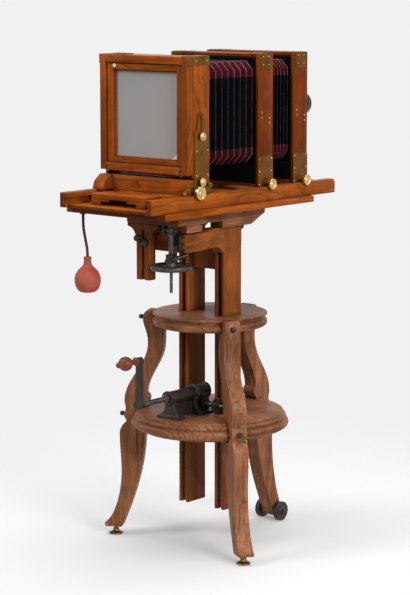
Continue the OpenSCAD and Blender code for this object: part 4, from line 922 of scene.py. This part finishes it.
def make_screen():
    low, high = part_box("screen_frame")
    glass_low, glass_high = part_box("ground_glass")
    stile = 22 * MM
    back = high.y - 0.0005
    notch, notch_depth = 0.1352, 0.0124
    joinery = Joinery("screen_frame_boards")
    for s in SIDES:
        a, b = (low.x, low.x + stile) if s < 0 else (high.x - stile, high.x)
        joinery.board((a, low.y, low.z), (b, back, high.z), Z, 0.0012)
        a, b = sorted((s * notch, s * (high.x - stile)))
        joinery.board((a, low.y, low.z + notch_depth), (b, back, low.z + stile), X, 0.0002)
        joinery.board((a, low.y + notch_depth, low.z), (b, back, low.z + notch_depth), X, 0.0002)
    joinery.board((low.x + stile, low.y, high.z - stile), (high.x - stile, back, high.z), X, 0.0012)
    joinery.board((-notch, low.y, low.z), (notch, back, low.z + stile), X, 0.0006)
    gap, bead, painted_recess_shade = 2 * MM, 4 * MM, 5 * MM
    tag_x, tag_rise = -0.1145, 0.0145
    front, inner_low, inner_top = low.y + painted_recess_shade, low.z + stile + gap, high.z - stile - gap
    open_x, open_z0, open_z1 = GLASS_HALF, glass_low.z + GLASS_LAP, glass_high.z - 5 * MM
    boards_round(joinery, high.x - stile - gap, open_x + bead, (front, high.y), (inner_low, inner_top),
                 ((open_z1 + bead, inner_top), (inner_low, open_z0 - bead)), 0.0014)
    boards_round(joinery, open_x + bead, open_x, (low.y + 0.011, glass_low.y - 0.0002),
                 (open_z0 - bead, open_z1 + bead),
                 ((open_z0 - bead, open_z0), (open_z1, open_z1 + bead)), 0.0012)
    joinery.done("screen", ["camera_wood"], ["screen_frame"])
    paint("ground_glass")
    tag = [(4.6 * MM, 0.0), (5.2 * MM, 0.3 * MM), (5.2 * MM, 0.9 * MM), (4.4 * MM, 1.4 * MM)]
    rings = [[Vector((tag_x + 1.25 * r * math.cos(a), front - y, open_z1 + tag_rise + 1.1 * r * math.sin(a)))
              for a in arc_angles(24)] for r, y in tag]
    mesh = smooth_shape("enamel_tag", rings)
    close_ends(mesh, len(rings[0]), len(rings))
    place_piece("enamel_tag", mesh, "screen", ["ivory"])


def bellows_rings(y0, y1, folds, half, depth, cut, centre_z):
    """Rings of the pleated tube, each an eight-sided loop of even faces, with how far out each ring lies."""
    phases = (0.0, 0.045, 0.26, 0.46, 0.54, 0.74, 0.955)
    times = [fold + phase for fold in range(folds) for phase in phases] + [folds]
    patch, crest = 20 * MM, 0.97
    rings = []
    for t in times:
        phase = t - math.floor(t)
        out_share = min(abs(2 * phase - 1), crest) / crest
        out = half - depth * (1 - out_share)
        wander = 0.0009 * math.sin(7.3 * t + 1.1)
        y = y0 + (y1 - y0) * t / folds
        corner = cut * (0.72 + 0.28 * out_share)
        straight = out - corner
        corners = [(out, straight), (straight, out), (-straight, out), (-out, straight), (-out, -straight),
                   (-straight, -out), (straight, -out), (out, -straight)]
        loop = []
        for k, spot in enumerate(corners):
            following = corners[(k + 1) % 8]
            side = k % 2 == 1
            reach = patch * (0.55 + 0.45 * out_share) / (2 * straight)
            spread = [reach + (1 - 2 * reach) * j / SIDE_FACES for j in range(1, SIDE_FACES + 1)]
            steps = [0, reach] + spread if side else [0, 0.5]
            for f in steps:
                x = spot[0] + (following[0] - spot[0]) * f
                z = spot[1] + (following[1] - spot[1]) * f
                sag = math.sin(math.pi * f) * (0.0022 * (1 - out_share) + wander) if side else 0.0
                inward = 1 - max(sag, 0.0) / math.hypot(x, z)
                loop.append(Vector((x * inward, y, centre_z + z * inward)))
        rings.append((loop, out_share))
    return rings, len(phases)


def bellows_lip(ring, centre_z, reach=0.153):
    """Square lip that joins the end of the pleats to the face of a frame; its share of -1 keeps it black."""
    lip = []
    for spot in ring[0]:
        scale = reach / max(abs(spot.x), abs(spot.z - centre_z))
        lip.append(Vector((spot.x * scale, spot.y, centre_z + (spot.z - centre_z) * scale)))
    return lip, -1.0


def bellows_piece(name, rings, stands_for):
    mesh = smooth_shape(name, [loop for loop, _ in rings])
    piece = add_object(name, mesh)
    mesh.materials.append(finish_of("bellows_leather"))
    mesh.materials.append(finish_of("bellows_corners"))
    count = len(rings[0][0])
    fold = mesh.attributes.new("fold", "FLOAT", "POINT")
    fold.data.foreach_set("value", [max(share, 0.0) for _, share in rings for _ in range(count)])
    quarter = SIDE_FACES + 4
    corner = {k for k in range(count) if k % quarter in (0, 1, 2, quarter - 1)}
    for index, polygon in enumerate(mesh.polygons):
        row = index // count
        lip = min(rings[row][1], rings[row + 1][1]) < 0
        polygon.material_index = 1 if index % count in corner and not lip else 0
        polygon.use_smooth = True
    shell = piece.modifiers.new("Wall", "SOLIDIFY")
    shell.thickness = 0.0012
    shell.offset = 1
    result = evaluated_mesh(piece)
    bpy.data.objects.remove(piece)
    result.name = name
    result.set_sharp_from_angle(angle=math.radians(30))
    final = add_object(name, result)
    if stands_for:
        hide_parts(*stands_for)
    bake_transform(final)
    return final


def make_bellows():
    soft = bpy.context.scene.camera_soft
    depth, cut = 15 * MM, 25 * MM
    low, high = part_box("bellows_rear")
    half = high.x - 0.0016
    centre = (low.z + high.z) / 2
    rings, samples = bellows_rings(low.y, high.y, soft.rear_folds, half, depth, cut, centre)
    first, second = soft.rear_folds // 4 * samples, soft.rear_folds * 5 // 8 * samples
    back, ahead = bellows_lip(rings[0], centre), bellows_lip(rings[-1], centre)
    parts = [("rear_bellows_back", [back] + rings[:first + 1], "rear_standard", "rear_base"),
             ("rear_bellows_middle", rings[first:second + 1], "rear_base", "bed"),
             ("rear_bellows_front", rings[second:] + [ahead], "bed", "middle_standard")]
    for name, part, body_a, body_b in parts:
        bellows_piece(name, part, ["bellows_rear"])
    low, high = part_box("bellows_front")
    rings, samples = bellows_rings(low.y, high.y, soft.front_folds, half, depth, cut, centre)
    rings = [bellows_lip(rings[0], centre)] + rings + [bellows_lip(rings[-1], centre)]
    bellows_piece("front_bellows", rings,
                  ["bellows_front"])


def make_brass_plates():
    for node in ("rear_straps", "rear_brass", "middle_brass", "front_brass"):
        dress(node, edge=0.00035, smooth=30)
    paint("focus_racks", "brass_dark")
    paint("air_nipple", "brass_dark")
    for node, y0 in (("middle_brass", 0.018), ("front_brass", 0.182)):
        spots = [(0.170, dy, z) for dy in (0.006, 0.061) for z in (1.0875, 1.126, 1.163)]
        spots += [(0.1695, dy, z) for dy in (0.022, 0.048) for z in (1.4355, 1.459)]
        spots += [(0.168, 0.018, 1.298), (0.168, 0.018, 1.283), (0.168, 0.054, 1.281), (0.168, 0.054, 1.266)]
        for s, side in SIDE_NAMES:
            places = [(s * x, y0 + dy, z) for x, dy, z in spots]
            screws(f"{node}_screws_{side}", places, (s, 0, 0), BODY_OF[node])
        tops = [(s * x, y0 + 0.033, 1.4690) for s in SIDES for x in (0.127, 0.150)]
        screws(f"{node}_top_screws", tops, Z, BODY_OF[node])
    strap_spots = [(-0.2575, 1.135), (-0.2095, 1.135), (-0.2575, 1.205), (-0.2095, 1.205), (-0.308, 1.0875)]
    corner_spots = [(-0.258, 1.456), (-0.212, 1.456)]
    for s, side in SIDE_NAMES:
        for name, spots, reach, body in (("strap", strap_spots, 0.1714, "rear_base"),
                                         ("corner", corner_spots, 0.1695, "rear_standard")):
            screws(f"rear_{name}_screws_{side}", [(s * reach, y, z) for y, z in spots], (s, 0, 0), body)


# Stage


def pale_material(colour):
    """Pale ground that keeps the shadow near the object and gives way to the even backdrop further out."""
    material, tree, shader = new_material("Pale ground")
    where = place_of(tree)
    fine = noise(tree, where, 3.0, 2.0)
    shade = mix(tree, span(tree, fine, 0.3, 0.7, 0.0, 0.02), rgb(colour), rgb([0.98 * c for c in colour]))
    connect(tree, shader, Base_Color=shade, Roughness=0.9, Specular_IOR_Level=0.0)
    reach = put(tree, "ShaderNodeVectorMath", {"operation": "LENGTH"}, n0=where).outputs["Value"]
    through = span(tree, reach, 0.55, 1.75, 0.30, 1.0)
    clear = put(tree, "ShaderNodeBsdfTransparent").outputs[0]
    blended = put(tree, "ShaderNodeMixShader", n0=through, n1=shader.outputs[0], n2=clear).outputs[0]
    out = next(node for node in tree.nodes if node.type == "OUTPUT_MATERIAL")
    tree.links.new(blended, out.inputs["Surface"])
    return material


def make_stage():
    settings = bpy.context.scene.camera_stage
    scene = bpy.context.scene
    mesh = bpy.data.meshes.new("studio_floor")
    size = 2
    corners = [(-size, -size, 0), (size, -size, 0), (size, size, 0), (-size, size, 0)]
    mesh.from_pydata(corners, [], [(0, 1, 2, 3)])
    floor = add_object("studio_floor", mesh)
    mesh.materials.append(pale_material(settings.ground))
    world = bpy.data.worlds.new("Studio")
    scene.world = world
    world.use_nodes = True
    tree = world.node_tree
    for node in list(tree.nodes):
        tree.nodes.remove(node)
    path = put(tree, "ShaderNodeLightPath")
    seen = maths(tree, "MAXIMUM", path.outputs["Is Camera Ray"], path.outputs["Is Transmission Ray"])
    shine = path.outputs["Is Glossy Ray"]
    lighting = put(tree, "ShaderNodeBackground", Color=(1, 1, 1, 1), Strength=settings.sky).outputs[0]
    backdrop = put(tree, "ShaderNodeBackground", Color=rgb(settings.backdrop), Strength=1.0).outputs[0]
    picture = put(tree, "ShaderNodeMixShader", n0=maths(tree, "MAXIMUM", seen, shine), n1=lighting, n2=backdrop)
    out = put(tree, "ShaderNodeOutputWorld")
    tree.links.new(picture.outputs[0], out.inputs["Surface"])
    lamps = (("key_lamp", (6.3, -1.5, 3.2), 2.8, settings.key_watts),
             ("fill_lamp", (-3.2, -5.6, 5.8), 3.4, settings.fill_watts),
             ("top_lamp", (0.2, 0.4, 6.2), 3.8, settings.top_watts))
    for name, spot, width, watts in lamps:
        data = bpy.data.lights.new(name, "AREA")
        data.shape = "SQUARE"
        data.size = width
        data.energy = watts
        lamp = add_object(name, data)
        lamp.location = spot
        lamp.rotation_euler = (Vector((0, 0, 0.8)) - Vector(spot)).to_track_quat("-Z", "Y").to_euler()
    scene.view_settings.view_transform = "Standard"


# Operators


class CAMERA_OT_view(bpy.types.Operator):
    """Set up the photograph's view"""

    bl_idname = "studio_camera.view"
    bl_label = "Photograph view"

    def execute(self, context):
        make_view()
        return {"FINISHED"}


class CAMERA_OT_air_line(bpy.types.Operator):
    """Make the rubber hose and bulb"""

    bl_idname = "studio_camera.air_line"
    bl_label = "Hose and bulb"

    def execute(self, context):
        hose, path, length = make_hose()
        bulb = make_bulb()
        return {"FINISHED"}


class CAMERA_OT_stand(bpy.types.Operator):
    """Make the legs, plates and their irons"""

    bl_idname = "studio_camera.stand"
    bl_label = "Stand"

    def execute(self, context):
        for node in ("leg_left", "leg_right", "leg_wheel"):
            dress(node, along=Z, edge=0.0022)
        dress("upper_plate", along=(1, 0.25, 0), edge=0.0012, smooth=50)
        dress("lower_plate", along=(1, -0.15, 0), edge=0.0012, smooth=50)
        for node in ("stand_bolts", "wheel_left", "wheel_right"):
            dress(node, edge=0.0008, smooth=32)
        for node in ("foot_left", "foot_right"):
            dress(node, edge=0.0008, finish="foot_bronze", smooth=32)
        return {"FINISHED"}


class CAMERA_OT_column(bpy.types.Operator):
    """Make the posts, yoke and guide"""

    bl_idname = "studio_camera.column"
    bl_label = "Column"

    def execute(self, context):
        for node in ("posts", "post_cross_rail", "yoke_arms", "tilt_guide"):
            dress(node, edge=0.0012, finish="column_wood")
        dress("yoke_front_board", along=X, edge=0.0006, finish="column_wood")
        cast("yoke_irons", 0.0013, 4)
        dress("handwheel", edge=0.0015, finish="worn_iron", smooth=38)
        dress("tilt_screw", edge=0.0008, smooth=32)
        for node in ("guide_wing_nut", "lower_hinges", "table_irons"):
            dress(node, edge=0.0006, smooth=32)
        return {"FINISHED"}


class CAMERA_OT_drive(bpy.types.Operator):
    """Make the crank, its casting and the gears"""

    bl_idname = "studio_camera.drive"
    bl_label = "Lift drive"

    def execute(self, context):
        cast("gear_bracket", 0.0014, 5)
        dress("crank_arm", edge=0.0015, smooth=32)
        dress("crank_handle", along=Y, edge=0, smooth=45)
        paint("racks", "rack_steel")
        paint("pinions")
        for node in ("cross_shaft", "crank_shaft"):
            dress(node, edge=0.0006, smooth=32)
        paint("worm")
        paint("worm_wheel", "brass")
        return {"FINISHED"}


class CAMERA_OT_bed(bpy.types.Operator):
    """Make the bed, its rails and the tailboard"""

    bl_idname = "studio_camera.bed"
    bl_label = "Bed"

    def execute(self, context):
        for node in ("tilt_table", "bed_board", "bed_rails"):
            dress(node, along=Y, edge=0.0013)
        dress("tailboard", along=X, edge=0.001)
        dress("rear_base_board", along=X, edge=0.0012)
        return {"FINISHED"}


class CAMERA_OT_frames(bpy.types.Operator):
    """Make the three standards and the focusing screen"""

    bl_idname = "studio_camera.frames"
    bl_label = "Standards and screen"

    def execute(self, context):
        make_frames()
        make_screen()
        return {"FINISHED"}


class CAMERA_OT_bellows(bpy.types.Operator):
    """Make the pleated bellows"""

    bl_idname = "studio_camera.bellows"
    bl_label = "Bellows"

    def execute(self, context):
        make_bellows()
        return {"FINISHED"}


class CAMERA_OT_lens(bpy.types.Operator):
    """Make the lens and shutter"""

    bl_idname = "studio_camera.lens"
    bl_label = "Lens and shutter"

    def execute(self, context):
        dress("lens_barrel", edge=0.0004, smooth=30)
        paint("lens_glasses", "lens_glass")
        dress("shutter_box", edge=0.0008)
        dress("shutter_flap", edge=0.0005)
        return {"FINISHED"}


class CAMERA_OT_brass(bpy.types.Operator):
    """Make the brass plates, screws and knobs"""

    bl_idname = "studio_camera.brass"
    bl_label = "Brass fittings"

    def execute(self, context):
        make_brass_plates()
        for node in ("focus_shaft", "rise_knobs", "base_knobs", "middle_knobs", "front_knobs"):
            dress(node, edge=0.0004, finish="brass_knobs", smooth=34)
        return {"FINISHED"}


class CAMERA_OT_stage(bpy.types.Operator):
    """Make the pale floor and the soft lamps"""

    bl_idname = "studio_camera.stage"
    bl_label = "Stage"

    def execute(self, context):
        make_stage()
        return {"FINISHED"}


class CAMERA_PT_panel(bpy.types.Panel):
    """Lists the pieces of the studio camera"""

    bl_idname = "CAMERA_PT_panel"
    bl_label = "Studio camera"
    bl_space_type = "VIEW_3D"
    bl_region_type = "UI"
    bl_category = "Studio camera"

    def draw(self, context):
        for operator in OPERATORS:
            self.layout.operator(operator.bl_idname)
        for group in ("camera_wood", "camera_metal", "camera_soft", "camera_stage"):
            settings = getattr(context.scene, group)
            box = self.layout.box()
            for key in settings.__annotations__:
                box.prop(settings, key)


OPERATORS = (CAMERA_OT_view, CAMERA_OT_air_line, CAMERA_OT_stand, CAMERA_OT_column, CAMERA_OT_drive,
             CAMERA_OT_bed, CAMERA_OT_frames, CAMERA_OT_bellows, CAMERA_OT_lens, CAMERA_OT_brass,
             CAMERA_OT_stage)
SETTINGS = {"camera_wood": WoodSettings, "camera_metal": MetalSettings, "camera_soft": SoftSettings,
            "camera_stage": StageSettings}


def register():
    for name, group in SETTINGS.items():
        bpy.utils.register_class(group)
        setattr(bpy.types.Scene, name, bpy.props.PointerProperty(type=group))
    for item in OPERATORS + (CAMERA_PT_panel,):
        bpy.utils.register_class(item)


def unregister():
    for item in (CAMERA_PT_panel,) + OPERATORS[::-1]:
        bpy.utils.unregister_class(item)
    for name, group in SETTINGS.items():
        delattr(bpy.types.Scene, name)
        bpy.utils.unregister_class(group)


def main():
    register()
    for operator in OPERATORS:
        family, name = operator.bl_idname.split(".")
        getattr(getattr(bpy.ops, family), name)()


if __name__ == "__main__":
    main()
